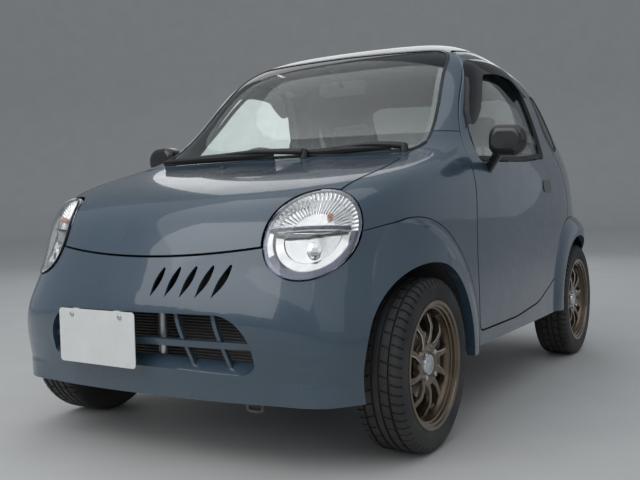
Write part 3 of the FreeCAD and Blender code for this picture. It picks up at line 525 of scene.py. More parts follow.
def make_finishes(colours):
    make_grain_group()
    make_dust_group()
    make_mottle_group()
    make_weave_group()
    paint, wheel = tuple(colours.paint), tuple(colours.wheel)
    door_lining = (0.03, 0.03, 0.032)
    FINISH.update(
        paint=body_paint("gloss paint", paint, paint),
        cab_paint=body_paint("gloss paint with roof lining", paint, DARK_LINING),
        door_paint_left=body_paint("gloss paint with door trim left", paint, door_lining, 1),
        door_paint_right=body_paint("gloss paint with door trim right", paint, door_lining, -1),
        clear_glass=window_glass("clear window glass", CLEAR_TINT),
        screen_glass=window_glass("windscreen glass with black band", CLEAR_TINT, band=1.335),
        heated_glass=window_glass("smoked rear glass with wires", SMOKED_TINT, pitch=0.028),
        visor=window_glass("smoked visor", (0.035, 0.037, 0.04)),
        smoked_glass=window_glass("smoked window glass", SMOKED_TINT),
        lamp_glass=window_glass("clear lamp lens", (0.97, 0.98, 0.98)),
        chrome=lamp_metal("reflector metal", (0.64, 0.65, 0.67), 0.1),
        dark_chrome=lamp_metal("dark reflector metal", (0.09, 0.1, 0.14), 0.2),
        mirror=lamp_metal("mirror glass", (0.9, 0.91, 0.92), 0.01),
        red=red_lens("red lamp lens"),
        amber=moulded("amber bulb", (0.75, 0.32, 0.16), 0.2, Transmission_Weight=0.4),
        black=moulded("black grained plastic", (0.016, 0.016, 0.017), 0.42, dust=0.25),
        gloss_black=moulded("black gloss plastic", (0.01, 0.01, 0.011), 0.18, grain=300,
                            depth=0.0001, Coat_Weight=0.5),
        rubber=moulded("black rubber", (0.017, 0.017, 0.018), 0.62, grain=800, dust=0.3),
        tyre=moulded("tyre rubber", (0.014, 0.0145, 0.0155), 0.66, grain=700, depth=0.0004,
                     dust=0.16, top=0.5),
        bronze=moulded("bronze wheel paint", wheel, 0.3, grain=2200, depth=0.0001, dust=0.12,
                       top=0.5, Metallic=0.75, Coat_Weight=0.5),
        machined=moulded("machined metal", (0.72, 0.68, 0.62), 0.22, grain=3000, depth=0.0001,
                         spread=0.05, Metallic=1),
        steel=moulded("bright steel", (0.55, 0.55, 0.56), 0.3, grain=1800, depth=0.0001, Metallic=1),
        iron=moulded("bare iron", (0.15, 0.135, 0.125), 0.5, mottle=0.3, dust=0.5, Metallic=0.8),
        underbody=moulded("underbody coating", (0.02, 0.02, 0.021), 0.7, grain=500, depth=0.0008,
                          dust=0.55, top=0.8),
        cast=moulded("cast alloy", (0.34, 0.34, 0.35), 0.5, grain=900, depth=0.0006, mottle=0.2,
                     dust=0.3, top=0.8, Metallic=0.9),
        exhaust=moulded("exhaust pipe steel", (0.36, 0.33, 0.3), 0.38, mottle=0.3, dust=0.4,
                        Metallic=1),
        cooler=finned("cooler fins", (0.1, 0.1, 0.1), 0.009),
        cabin=moulded("cabin plastic", (0.035, 0.035, 0.037), 0.62, grain=1000, depth=0.0005),
        cabin_soft=moulded("soft dark cabin trim", SOOT, 0.5, grain=1300, depth=0.0004),
        cloth=seat_cloth("seat cloth", (0.05, 0.052, 0.056)),
        cloth_side=seat_cloth("seat side cloth", SOOT),
        plate=moulded("white plate enamel", (0.72, 0.72, 0.71), 0.32, grain=400, depth=0.00005,
                      mottle=0.03),
    )


# Which solids take a finish, by the start of their names
SOLID_FINISH = {
    "paint": ("front_bumper", "front_fenders", "rear_bumper", "bonnet", "grille"),
    "cab_paint": ("cab_shell",),
    "door_paint_left": ("door_shell_left",),
    "door_paint_right": ("door_shell_right",),
    "gloss_black": ("door_handle", "door_mirror"),
    "underbody": ("wheel_housings", "floor_pan", "front_frame"),
    "iron": ("front_subframe", "rear_axle", "knuckle", "drum", "rim"),
    "steel": ("disc",),
    "tyre": ("tyre",),
    "clear_glass": ("door_glass",),
    "screen_glass": ("windscreen",),
    "smoked_glass": ("quarter_windows",),
    "heated_glass": ("hatch_glass",),
    "lamp_glass": ("headlamp_lenses",),
    "dark_chrome": ("headlamp_bodies",),
    "red": ("tail_lamps",),
    "plate": ("number_plate",),
    "cast": ("engine_block",),
    "cooler": ("radiator",),
    "exhaust": ("exhaust",),
    "black": ("fuel_tank", "wipers"),
    "cabin": ("dashboard",),
    "cabin_soft": ("interior_mirror", "steering_wheel"),
    "cloth": ("front_seats", "rear_bench"),
}


# Wheels. Profiles hold (along the axle, radius) in millimetres

TREAD_HALF = [(60, 178), (66.5, 183), (71.5, 192.5), (76.5, 205), (78, 220), (77.5, 234.5),
              (75.5, 245), (71.5, 253.5), (65, 259.8), (56, 262.5), (46, 263), (45, 256.5),
              (38.5, 256.5), (37.5, 263), (16, 263), (15, 256.5), (8.5, 256.5), (7.5, 263)]
LINER_HALF = [(52, 178), (64, 205), (67, 225), (61, 246), (45, 251.5)]
TYRE_STEPS = 240
# The cross grooves: between two distances from the middle, every so many steps, from a step on
CROSS_GROOVES = ((0.047, 0.0735, 4, 0), (0.017, 0.037, 6, 2))
GROOVE_DEPTH = 0.0045
GROOVE_EDGE = 0.0012
GROOVE_SLANT = 0.085
TREAD_FLOOR = 0.2475
TREAD_REACH = 0.078
BARREL = [(-74, 188), (-70, 172.7), (-40, 172.7), (-25, 160), (22, 160), (40, 164), (47, 168.5),
          (55, 169), (57.5, 173.5), (66, 174.5), (68.5, 182), (74, 183.5), (76, 187), (76, 193),
          (74.5, 195), (71, 195), (67, 188), (62, 177.7), (48, 177.7), (36, 165), (-26, 165),
          (-42, 177.7), (-62, 177.7), (-69, 190)]
HUB_FACE = [(24, 34), (24, 60), (30, 67), (44, 67.5), (50.5, 64), (52, 58), (50, 50), (46.5, 36),
            (46.5, 33)]
HUB_CAP = [(36, 0), (36, 32.5), (50.5, 32.5), (53.5, 30), (54, 26.5), (52.8, 24.5), (54.5, 18),
           (55.8, 9), (56.2, 0)]
# Along a spoke, by radius: how far out its face lies, its half width and its thickness
SPOKE_FACE = mm((40, 46), (62, 52), (85, 58.5), (115, 60), (145, 50), (170, 30))
SPOKE_HALF = mm((40, 13.5), (62, 13.5), (85, 8.8), (115, 8), (145, 10.2), (170, 20))
SPOKE_DEPTH = mm((40, 20), (85, 15), (130, 15), (170, 24))
SPOKE_START, SPOKE_LENGTH = 0.040, 0.130
SPOKE_SWEEP = math.radians(9)
NUT_CIRCLE = 0.0478
VALVE_CIRCLE = 0.158


def around(radius, turn, along):
    """A place on the front left wheel: radius, turn from the top, and distance along the axle."""
    return FRONT_WHEEL + Vector((along, radius * math.sin(turn), radius * math.cos(turn)))


def make_tyre():
    """The front left tyre: sidewalls, ribs, grooves and slanted cross grooves."""
    outer = [(-x, r) for x, r in TREAD_HALF] + TREAD_HALF[::-1]
    liner = LINER_HALF + [(-x, r) for x, r in reversed(LINER_HALF)]
    piece = turned("tyre", outer + liner, FRONT_WHEEL, "tyre", steps=TYRE_STEPS, angle=None)
    step = math.tau / TYRE_STEPS

    def groove(place, x_low, x_high, every, turn):
        out = place - FRONT_WHEEL
        number = int(math.floor((math.atan2(out.y, out.z) % math.tau) / step + 0.01))
        return (math.hypot(out.y, out.z) > TREAD_FLOOR and x_low < abs(out.x) < x_high
                and number % every == turn)

    edit(piece)
    for limits in CROSS_GROOVES:
        choose(piece, lambda place, _: groove(place, *limits))
        bpy.ops.mesh.inset(thickness=GROOVE_EDGE, depth=-GROOVE_DEPTH)
    object_mode()
    for point in piece.data.vertices:
        out = point.co - FRONT_WHEEL
        reach = math.hypot(out.y, out.z)
        if reach > 0.2:
            share = min(1, abs(out.x) / TREAD_REACH) * curve_value([(0.2, 0), (0.245, 1)], reach)
            point.co = FRONT_WHEEL + Matrix.Rotation(GROOVE_SLANT * share, 4, "X") @ out
    return smooth(piece, 40)


def spoke_turn(r):
    return SPOKE_SWEEP * (r - SPOKE_START) / SPOKE_LENGTH


def make_spoke():
    """One arched spoke, wide at both ends, with a machined edge on its trailing side."""
    clear()
    bpy.ops.mesh.primitive_cube_add(size=2, location=(0, 0, 0))
    piece = named("spoke")
    edit(piece)
    for axis, cuts in ((2, 13), (1, 5), (0, 2)):
        choose(piece, lambda a, b: abs(a[axis] - b[axis]) > 1.5, "EDGE")
        bpy.ops.mesh.subdivide(number_cuts=cuts)
    object_mode()
    for point in piece.data.vertices:
        depth, across, along = point.co
        r = SPOKE_START + (along + 1) / 2 * SPOKE_LENGTH
        v = math.copysign(curve_value([(0, 0), (0.34, 0.45), (0.68, 0.78), (1, 1)], abs(across)),
                          across)
        y = v * curve_value(SPOKE_HALF, r) * (1 if depth > 0 else 0.8)
        crown = 0.0022 * v ** 4 if depth > 0 else 0
        x = curve_value(SPOKE_FACE, r) - (1 - depth) / 2 * curve_value(SPOKE_DEPTH, r) - crown
        sine, cosine = math.sin(spoke_turn(r)), math.cos(spoke_turn(r))
        point.co = (x, y * cosine + r * sine, r * cosine - y * sine)
    for key in ("bronze", "machined"):
        piece.data.materials.append(FINISH[key])

    def trailing(place, normal):
        r = math.hypot(place.y, place.z)
        across = place.y * math.cos(spoke_turn(r)) - place.z * math.sin(spoke_turn(r))
        return normal.x > 0.25 and across < -curve_value(SPOKE_HALF, r) * 0.8 and 0.066 < r < 0.164

    edit(piece)
    choose(piece, trailing)
    bpy.context.object.active_material_index = 1
    bpy.ops.object.material_slot_assign()
    bpy.ops.mesh.select_all(action="SELECT")
    bpy.ops.transform.translate(value=FRONT_WHEEL)
    return piece


def make_rim(spokes):
    """The front left rim: stepped barrel, arched spokes, hub with nuts, bare cap and valve."""
    barrel = turned("barrel", BARREL, FRONT_WHEEL, "bronze", steps=128, angle=30)
    spoke = make_spoke()
    edit(spoke)
    bpy.ops.mesh.spin(steps=spokes - 1, angle=math.tau * (spokes - 1) / spokes, dupli=True,
                      center=FRONT_WHEEL, axis=X_AXIS)
    object_mode()
    smooth(spoke, 40)
    hub = turned("hub", HUB_FACE, FRONT_WHEEL, "bronze", steps=96, angle=30)
    cap = turned("cap", HUB_CAP, FRONT_WHEEL, "chrome")
    nuts = []
    for turn in (45, 135, 225, 315):
        clear()
        bpy.ops.mesh.primitive_cylinder_add(vertices=6, radius=0.0088, depth=0.016,
                                            location=around(NUT_CIRCLE, math.radians(turn), 0.052),
                                            rotation=(0, math.radians(90), 0))
        nut = named("nut")
        bpy.ops.object.transform_apply(location=True, rotation=True, scale=True)
        nuts.append(dress(bevel(nut, 0.0014, 2), "steel"))
    valve = round_bar("valve", [around(VALVE_CIRCLE, 0.3, x) for x in (0.032, 0.052, 0.07)], 0.0036,
                      "rubber", taper=(1.5, 1.1, 0.9))
    return join("rim", [spoke, barrel, hub, cap, valve] + nuts)


# Glass edges

# Outer faces of a pane look away from here
CABIN_MIDDLE = Vector((0, 0.35, 0.7))


def edge_seal(node, radius):
    """A rubber seal along the outer edge of each pane in a node."""
    name = f"{node}_seal"
    seal = clean(copied(name, NODES[node], Matrix()), 0.0001)
    edit(seal)
    choose(seal, lambda place, out: out.dot((place - CABIN_MIDDLE).normalized()) < 0.5)
    bpy.ops.mesh.delete(type="FACE")
    bpy.ops.mesh.select_all(action="SELECT")
    bpy.ops.mesh.region_to_loop()
    bpy.ops.mesh.select_mode(type="EDGE")
    bpy.ops.mesh.select_all(action="INVERT")
    bpy.ops.mesh.delete(type="EDGE")
    bpy.ops.mesh.select_all(action="SELECT")
    bpy.ops.mesh.remove_doubles(threshold=0.004)
    object_mode()
    bpy.ops.object.convert(target="CURVE")
    line = bpy.context.object.data
    line.bevel_depth = radius
    line.bevel_resolution = 2
    bpy.ops.object.convert(target="MESH")
    return dress(clean(named(name)), "rubber", 60)


# Headlamps. The lens is seen along its axis as a leaning oval

LAMP_CENTRE = Vector((0.4975, -1.171, 0.672))
LAMP_AXIS = Vector((0.45, -0.85, 0.28)).normalized()
LAMP_ACROSS = UP.cross(LAMP_AXIS).normalized()
LAMP_UP = LAMP_AXIS.cross(LAMP_ACROSS)
LAMP_LONG = 0.157
LAMP_SHORT = 0.120
LEAN_COS, LEAN_SIN = math.cos(math.radians(46)), math.sin(math.radians(46))
# The divider's height above the centre, and the free gap under the lens
LAMP_SPLIT = 0.012
LENS_GAP = 0.008
FLUTE_DEPTH = 0.004
RING_STEP = 0.01
# Rings of a lamp shell, from the rim inwards: share of the oval, depth below the lens
BEZEL_RINGS = [(0.985, 0.003), (0.93, 0.004), (0.91, 0.012)]
UPPER_RINGS = [(0.92, 0.01), (0.86, 0.016), (0.78, 0.028), (0.5, 0.033), (0.45, 0.04), (0.02, 0.042)]
LOWER_RINGS = [(0.93, 0.009), (0.85, 0.011), (0.81, 0.013), (0.76, 0.032), (0.6, 0.04), (0.58, 0.046),
               (0.3, 0.05), (0.02, 0.051)]
GLASS_BULB = [(-20, 0), (-20, 8), (-4, 9.5), (6, 7.5), (11, 3.5), (12, 0)]
SHIELDED_BULB = [(-22, 0), (-22, 8), (-6, 21), (0, 19.5), (4, 10), (5, 0)]


def lamp_drop(across, rise, depth):
    """A point of the lamp seen along its axis, this deep below the outside of the lens."""
    flat = LAMP_CENTRE + LAMP_ACROSS * across + LAMP_UP * rise
    lens = NODES["headlamp_lenses"]
    hit, place, _, _ = lens.ray_cast(flat + LAMP_AXIS * 0.3, -LAMP_AXIS)
    if not hit:
        _, place, _, _ = lens.ray_cast(LAMP_CENTRE.lerp(flat, 0.95) + LAMP_AXIS * 0.3, -LAMP_AXIS)
        place = place + (flat - place) - LAMP_AXIS * LAMP_AXIS.dot(flat - place)
    return place - LAMP_AXIS * (LENS_GAP + depth)


def lamp_shell(name, rings, flutes=0, keep=0):
    """A bowl of ovals below the lens; keep 1 or -1 leaves what is above or below the divider."""
    clear()
    bpy.ops.mesh.primitive_circle_add(vertices=360, radius=1)
    piece = named(name)
    edit(piece)
    for _ in rings[1:]:
        bpy.ops.mesh.extrude_edges_move(TRANSFORM_OT_translate={"value": (0, 0, -RING_STEP)})
    object_mode()
    for point in piece.data.vertices:
        row = round(-point.co.z / RING_STEP)
        turn = math.atan2(point.co.y, point.co.x)
        share, depth = rings[row]
        if flutes and 0 < row < 4:
            depth += FLUTE_DEPTH * abs(math.sin(turn * flutes))
        long, short = LAMP_LONG * share * math.cos(turn), LAMP_SHORT * share * math.sin(turn)
        point.co = lamp_drop(long * LEAN_COS - short * LEAN_SIN, long * LEAN_SIN + short * LEAN_COS,
                             depth)
    clean(piece)
    if keep:
        edit(piece)
        bpy.ops.mesh.bisect(plane_co=LAMP_CENTRE + LAMP_UP * LAMP_SPLIT, plane_no=LAMP_UP * keep,
                            clear_inner=True)
        object_mode()
    apply(piece, "SOLIDIFY", thickness=0.0012, offset=0)
    return dress(clean(piece), "chrome", 30)


def make_headlamp():
    """The left lamp's inside: bezel, fluted upper bowl, lower reflector, divider and bulbs."""
    bezel = lamp_shell("bezel", BEZEL_RINGS)
    upper = lamp_shell("upper", UPPER_RINGS, flutes=30, keep=1)
    lower = lamp_shell("lower", LOWER_RINGS, keep=-1)
    lower.data.materials.append(FINISH["dark_chrome"])
    for face in lower.data.polygons:
        flat = face.center - LAMP_CENTRE
        across, rise = flat.dot(LAMP_ACROSS), flat.dot(LAMP_UP)
        long, short = across * LEAN_COS + rise * LEAN_SIN, rise * LEAN_COS - across * LEAN_SIN
        rim = math.hypot(long / LAMP_LONG, short / LAMP_SHORT) > 0.8
        face.material_index = int(rim and math.atan2(rise, across) > math.radians(-150))
    rows = [[lamp_drop(-0.115 + 0.219 * i / 10, LAMP_SPLIT + 0.004 * (i - 5) / 5, depth)
             for i in range(11)] for depth in (0.004, 0.02, 0.038)]
    return join("headlamp_inside", [
        upper, bezel, lower, strip("shelf", rows, 0.0015, "chrome", 40),
        round_bar("divider", rows[0], 0.0055, "dark_chrome", 40, sides=3),
        turned("bulb", SHIELDED_BULB, lamp_drop(0.004, -0.044, 0.024), "chrome", LAMP_AXIS, 48),
        turned("blinker", GLASS_BULB, lamp_drop(0.048, 0.052, 0.024), "amber", LAMP_AXIS, 32)])


# Padded seats

PAD_GRID = 0.008
PAD_PRESSURE = 4
PAD_FRAMES = 20
PAD_INSET = Vector((0.012, 0.012, 0.012))
SEAM_DEPTH = 0.009
SEAM_WIDTH = 0.007
SEAT_X = 0.32
FRONT = Vector((0, -1, 0))


def soften(piece, cap):
    """Blows a closed pad up as stuffed cloth, each point moved by cap at most."""
    apply(piece, "REMESH", mode="VOXEL", voxel_size=PAD_GRID)
    only(piece)
    scene = bpy.context.scene
    start = [point.co.copy() for point in piece.data.vertices]
    cloth = piece.modifiers.new("cloth", "CLOTH")
    cloth.settings.use_pressure = True
    cloth.settings.uniform_pressure_force = PAD_PRESSURE
    cloth.settings.effector_weights.gravity = 0
    cloth.settings.quality = 5
    for number in range(1, PAD_FRAMES + 1):
        scene.frame_set(number)
    bpy.ops.object.modifier_apply(modifier=cloth.name)
    scene.frame_set(1)
    for point, place in zip(piece.data.vertices, start):
        move = point.co - place
        if move.length > cap:
            point.co = place + move * (cap / move.length)
    apply(piece, "SUBSURF", levels=1, render_levels=1)
    return smooth(piece, 80)


def pad(name, low, high, facing, seams=(), lean=0.0, narrow=0.0, cap=0.022):
    """A stuffed pad between two corners. lean moves its top back, narrow pulls its top in.
    Seams are pressed into the side that faces this way: (axis, place, axis, low, high)."""
    low, high = Vector(low) + PAD_INSET, Vector(high) - PAD_INSET
    piece = block(name, low, high, "cloth", 0.03, 4)
    middle = (low.x + high.x) / 2
    for point in piece.data.vertices:
        share = (point.co.z - low.z) / (high.z - low.z)
        point.co.y += lean * share
        point.co.x = middle + (point.co.x - middle) * (1 - narrow * max(0.0, share))
    soften(piece, cap)
    for axis, place, bound, start, end in seams:
        for point, normal in zip(piece.data.vertices, piece.data.vertex_normals):
            away = abs(point.co[axis] - place)
            if away < 3 * SEAM_WIDTH and start < point.co[bound] < end:
                side = max(0.0, normal.vector.dot(facing))
                point.co -= facing * SEAM_DEPTH * side * math.exp(-(away / SEAM_WIDTH) ** 2)
    return dress(piece, "cloth")


def make_seat():
    """The left front seat: cushion, back and headrest on rails and posts."""
    x = SEAT_X
    cushion = pad("seat_cushion", (x - 0.24, -0.04, 0.4), (x + 0.24, 0.44, 0.535), UP, [
        (0, x - 0.145, 1, -0.03, 0.4), (0, x + 0.145, 1, -0.03, 0.4),
        (1, 0.1, 0, x - 0.14, x + 0.14), (1, 0.22, 0, x - 0.14, x + 0.14)])
    back = pad("seat_back", (x - 0.235, 0.375, 0.47), (x + 0.235, 0.495, 0.965), FRONT, [
        (0, x - 0.135, 2, 0.5, 0.95), (0, x + 0.135, 2, 0.5, 0.95),
        (2, 0.62, 0, x - 0.13, x + 0.13), (2, 0.76, 0, x - 0.13, x + 0.13)], lean=0.148, narrow=0.16)
    head = pad("seat_head", (x - 0.125, 0.555, 0.985), (x + 0.125, 0.655, 1.15), FRONT,
               lean=0.01, narrow=0.12, cap=0.016)
    for piece, half in ((cushion, 0.145), (back, 0.135)):
        piece.data.materials.append(FINISH["cloth_side"])
        for face in piece.data.polygons:
            face.material_index = int(abs(face.center.x - x) > half)
    parts = [block("rail", (x + side - 0.015, 0, 0.2625), (x + side + 0.015, 0.4, 0.405), "iron")
             for side in (-0.18, 0.18)]
    parts += [round_bar("post", [(x + side, 0.585, 0.93), (x + side, 0.595, 0.965),
                                 (x + side, 0.605, 1.01)], 0.006, "iron") for side in (-0.05, 0.05)]
    parts.append(block("skirt", (x - 0.205, -0.01, 0.335), (x + 0.205, 0.41, 0.412), "cabin_soft", 0.02))
    return cushion, back, head, join("seat_frame", parts)


def make_bench():
    cushion = pad("bench_cushion", (-0.47, 0.76, 0.445), (0.47, 1.05, 0.565), UP, [
        (0, 0, 1, 0.77, 1.04), (1, 0.86, 0, -0.44, 0.44)])
    back = pad("bench_back", (-0.47, 1.03, 0.5), (0.47, 1.115, 0.885), FRONT, [
        (0, 0, 2, 0.51, 0.87), (2, 0.64, 0, -0.44, 0.44), (2, 0.76, 0, -0.44, 0.44)],
        lean=0.062, cap=0.016)
    return cushion, back


# Trim

WIPER_GROUND = ("windscreen", "cab_shell", "bonnet", "front_fenders")
WIPER_RUBBER_LIFT = 0.007
WIPER_HOLDER_LIFT = 0.018
WIPER_ARM_LIFTS = (0.022, 0.03, 0.032, 0.026)
WIPER_CAP = [(-4, 0), (-4, 15), (24, 13.5), (31, 9), (33, 0)]
# The upper edge of the left door's window, front to rear, as (y, z)
WINDOW_TOP = mm((-268, 1024), (-262, 1040), (-245, 1074), (-200, 1123.5), (-150, 1181), (-105, 1233),
                (-77, 1262), (-45, 1283), (0, 1295), (60, 1303), (130, 1309), (200, 1308.5),
                (260, 1305), (310, 1297), (352, 1277), (400, 1241), (440, 1207), (458, 1192))
# The rest of that window's edge, down the rear, along the foot and back to the start
WINDOW_FOOT = mm((480, 1146), (500.8, 1106), (517, 1070), (521.7, 1037), (521.5, 1000), (517.6, 968),
                 (514.8, 956.4), (503, 937), (478.9, 925.8), (350, 916.5), (200, 905.5), (0, 899),
                 (-200, 893.5), (-282, 891), (-305, 899), (-305.6, 923.5))
# The deflector across its width: how far inside the upper edge, how far off the sunken glass
VISOR_ROWS = mm((-2, 15.6), (8, 20), (20, 26.2), (42, 28.5), (62, 27.5))


def make_wiper(name, pivot, tip, reach):
    """One wiper: blade with its rubber on the glass, a tapered arm and a capped pivot."""
    pivot, tip = Vector(pivot), Vector(tip)
    line = [pivot.lerp(tip, reach + (1 - reach) * i / 8) for i in range(9)]
    arm_line = [pivot.lerp(line[4], i / 3) for i in range(4)]

    def laid(places, lifts):
        return [on_skin(*place, *WIPER_GROUND, lift=lift) for place, lift in zip(places, lifts)]

    return smooth(join(name, [
        round_bar("rubber", laid(line, [WIPER_RUBBER_LIFT] * 9), 0.006, "rubber", sides=2),
        round_bar("holder", laid(line, [WIPER_HOLDER_LIFT] * 9), 0.01, "rubber", sides=2,
                  taper=[0.6, 0.9, 1.1, 1.3, 1.5, 1.3, 1.1, 0.9, 0.6]),
        round_bar("arm", laid(arm_line, WIPER_ARM_LIFTS), 0.0072, "black",
                  taper=(1.7, 1.4, 1, 0.8)),
        turned("cap", WIPER_CAP, on_skin(*pivot, *WIPER_GROUND), "black", UP, 32)]), 40)


def mirror_glass():
    """The left mirror's glass, set in its housing."""
    clear()
    bpy.ops.mesh.primitive_circle_add(vertices=64, radius=0.1)
    piece = named("mirror_glass")
    for i, point in enumerate(piece.data.vertices):
        a, b = math.cos(math.tau * i / 64), math.sin(math.tau * i / 64)
        point.co = (0.7845 + 0.0575 * math.copysign(abs(a) ** 0.62, a), -0.2706,
                    0.962 + 0.045 * math.copysign(abs(b) ** 0.62, b))
    edit(piece)
    bpy.ops.mesh.edge_face_add()
    bpy.ops.mesh.extrude_region_move(TRANSFORM_OT_translate={"value": (0, 0.003, 0)})
    return dress(bevel(clean(piece), 0.0008, 2), "mirror")


def window_row(edge, width, lift):
    """Points this far inside a window's edge and this far off its sunken glass."""
    row = []
    for i, (y, z) in enumerate(edge):
        (y0, z0), (y1, z1) = edge[max(i - 1, 0)], edge[min(i + 1, len(edge) - 1)]
        inside = width(i) / math.hypot(y1 - y0, z1 - z0)
        row.append(on_skin(y + (z1 - z0) * inside, z - (y1 - y0) * inside, "door_glass_left",
                           lift=lift, down=(-1, 0, 0)))
    return row


def make_visor():
    """A smoked deflector that stands off the left door along the top of its window."""
    last = len(WINDOW_TOP) - 1
    rows = [window_row(WINDOW_TOP, lambda i: min(1, 0.22 + 0.3 * min(i, last - i)) * inside, lift)
            for inside, lift in VISOR_ROWS]
    return strip("visor", rows, 0.0025, "visor", 60)


def make_surround():
    """The black rubber lip round the left door's window, widest along its foot."""
    edge = WINDOW_TOP + WINDOW_FOOT + WINDOW_TOP[:1]
    foot = range(len(WINDOW_TOP) + 6, len(edge) - 3)
    rows = []
    for share, lift in ((0.05, 0.0125), (0.3, 0.012), (1, 0.0025)):
        row = window_row(edge, lambda i: (0.022 if i in foot else 0.012) * share, lift)
        rows.append(row[:-1] + row[:1])
    return strip("surround", rows, 0.002, "rubber", 60)


def make_door_trim():
    """Armrest, pull, inner handle and pocket of the left door."""
    return join("door_trim", [
        block("armrest", (0.6, -0.06, 0.64), (0.668, 0.34, 0.695), "cabin_soft", 0.018, 4),
        block("pull", (0.606, 0.02, 0.69), (0.64, 0.17, 0.712), "cabin", 0.008),
        block("pocket", (0.618, -0.22, 0.375), (0.668, 0.36, 0.52), "cabin", 0.02, 4),
        block("lever", (0.64, -0.17, 0.745), (0.668, -0.07, 0.772), "chrome", 0.006)])


def make_front_fittings():
    """The towing eye under the bumper and the bolts of the plate."""
    line = mm(*[(x, -1240, z) for x, z in ((307, 250), (307, 185), (307, 170), (358, 170), (358, 185),
                                           (358, 250))])
    bolt = [(-1, 0), (-1, 8.5), (3, 7.5), (4.5, 4), (4.5, 0)]
    return join("front_fittings", [round_bar("eye", line, 0.006, "iron")] + [
        turned("bolt", bolt, on_skin(x, 0.438, "number_plate", down=(0, 1, 0)), "steel", (0, -1, 0),
               24, 30) for x in (-0.26, -0.05)])


def make_dash_trim():
    """Instrument hood, dials, vents, heater panel and gear lever."""
    parts = [block("hood", (-0.455, -0.42, 0.88), (-0.185, -0.272, 0.958), "cabin", 0.03, 5),
             block("panel", (-0.105, -0.262, 0.66), (0.105, -0.224, 0.845), "cabin_soft", 0.01),
             block("console", (-0.075, -0.3, 0.264), (0.075, 0.05, 0.43), "cabin", 0.03, 4)]
    dial = [(0, 0), (0, 44), (6, 47), (9, 44), (4, 41), (3, 0)]
    vent = [(0, 0), (0, 36), (10, 39), (14, 36), (8, 31), (6, 0)]
    knob = [(0, 0), (0, 19), (16, 17.5), (19, 14), (20, 0)]
    grip = [(-20, 0), (-20, 14), (10, 22), (35, 21), (46, 12), (48, 0)]
    for x in (-0.375, -0.265):
        parts.append(turned("dial", dial, (x, -0.2735, 0.918), "gloss_black", (0, 1, 0.2), 48))
    for x, z in ((-0.56, 0.846), (-0.075, 0.868), (0.075, 0.868), (0.56, 0.846)):
        parts.append(turned("vent", vent, (x, -0.252, z), "gloss_black", (0, 1, 0.35), 48))
    for x in (-0.06, 0, 0.06):
        parts.append(turned("knob", knob, (x, -0.224, 0.705), "cabin", (0, 1, 0), 32))
    parts += [round_bar("lever", [(0, -0.1, 0.42), (0, -0.105, 0.5), (0, -0.125, 0.58)], 0.008,
                        "steel", 40),
              turned("grip", grip, (0, -0.127, 0.585), "cabin_soft", (0, -0.25, 1), 32, 50)]
    return join("dash_trim", parts)


def make_wheel_pad():
    """The steering wheel's centre pad, with a bare round boss."""
    axis = (0, math.cos(math.radians(27)), math.sin(math.radians(27)))
    return turned("pad", [(-30, 0), (-30, 62), (-12, 74), (2, 70), (10, 50), (13, 0)],
                  (-0.32, -0.15, 0.82), "cabin_soft", axis, 64, 50)


def make_engine_dress():
    """Rocker cover with ribs and filler cap, air box, battery with posts, a hose and a duct on the
    engine block.
    """
    parts = [block("cover", (-0.2, -0.98, 0.636), (0.14, -0.78, 0.69), "cast", 0.016, 4)]
    for i in range(7):
        x = -0.175 + i * 0.048
        parts.append(block("rib", (x, -0.965, 0.684), (x + 0.014, -0.795, 0.699), "cast", 0.004, 2))
    filler = [(0, 0), (0, 24), (16, 26), (21, 22), (22, 0)]
    post = [(0, 0), (0, 10), (14, 9), (15, 0)]
    hose = [(0.06, -0.98, 0.655), (0.07, -1.06, 0.665), (0.16, -1.12, 0.64), (0.24, -1.185, 0.6),
            (0.25, -1.2, 0.575)]
    duct = [(0.22, -0.77, 0.665), (0.2, -0.7, 0.69), (0.08, -0.7, 0.7), (0.02, -0.76, 0.672)]
    parts += [turned("filler", filler, (0.105, -0.88, 0.69), "black", UP, 40),
              block("air_box", (0.16, -1.02, 0.6), (0.3, -0.76, 0.716), "black", 0.018, 4),
              block("battery", (-0.375, -0.8, 0.56), (-0.235, -0.6, 0.735), "cabin", 0.006)]
    parts += [turned("post", post, (x, -0.77, 0.735), "steel", UP, 24, None)
              for x in (-0.345, -0.265)]
    parts += [round_bar("hose", hose, 0.017, "rubber", 50), round_bar("duct", duct, 0.026, "black", 50)]
    return join("engine_dress", parts)


# Front bumper

# The patch of a lower bumper corner that is eased: its sides, its heights and its grid
CORNER_X = (0.4085, 0.6)
CORNER_Z = (0.203, 0.388)
CORNER_GRID = (40, 38)
PANEL = 0.008


def nose_depth(x, z):
    """How far forward the bumper's skin lies at a place seen from the front."""
    hit, place, _, _ = NODES["front_bumper"].ray_cast(Vector((x, -3, max(z, 0.2035))),
                                                      Vector((0, 1, 0)))
    if not hit:
        raise RuntimeError(f"no bumper at {x:.3f}, {z:.3f}")
    return place.y


def eased_row(z):
    """Depths across the corner on a smooth curve, in line with the skin at both sides."""
    inner, outer = CORNER_X
    step = 0.006
    span = outer - inner
    low, high = nose_depth(inner, z), nose_depth(outer, z)
    slope_low = (low - nose_depth(inner - step, z)) / step * span
    slope_high = (nose_depth(outer + step, z) - high) / step * span
    row = []
    for i in range(CORNER_GRID[0]):
        t = i / (CORNER_GRID[0] - 1)
        row.append(low * (2 * t ** 3 - 3 * t ** 2 + 1) + slope_low * (t ** 3 - 2 * t ** 2 + t)
                   + high * (3 * t ** 2 - 2 * t ** 3) + slope_high * (t ** 3 - t ** 2))
    return row


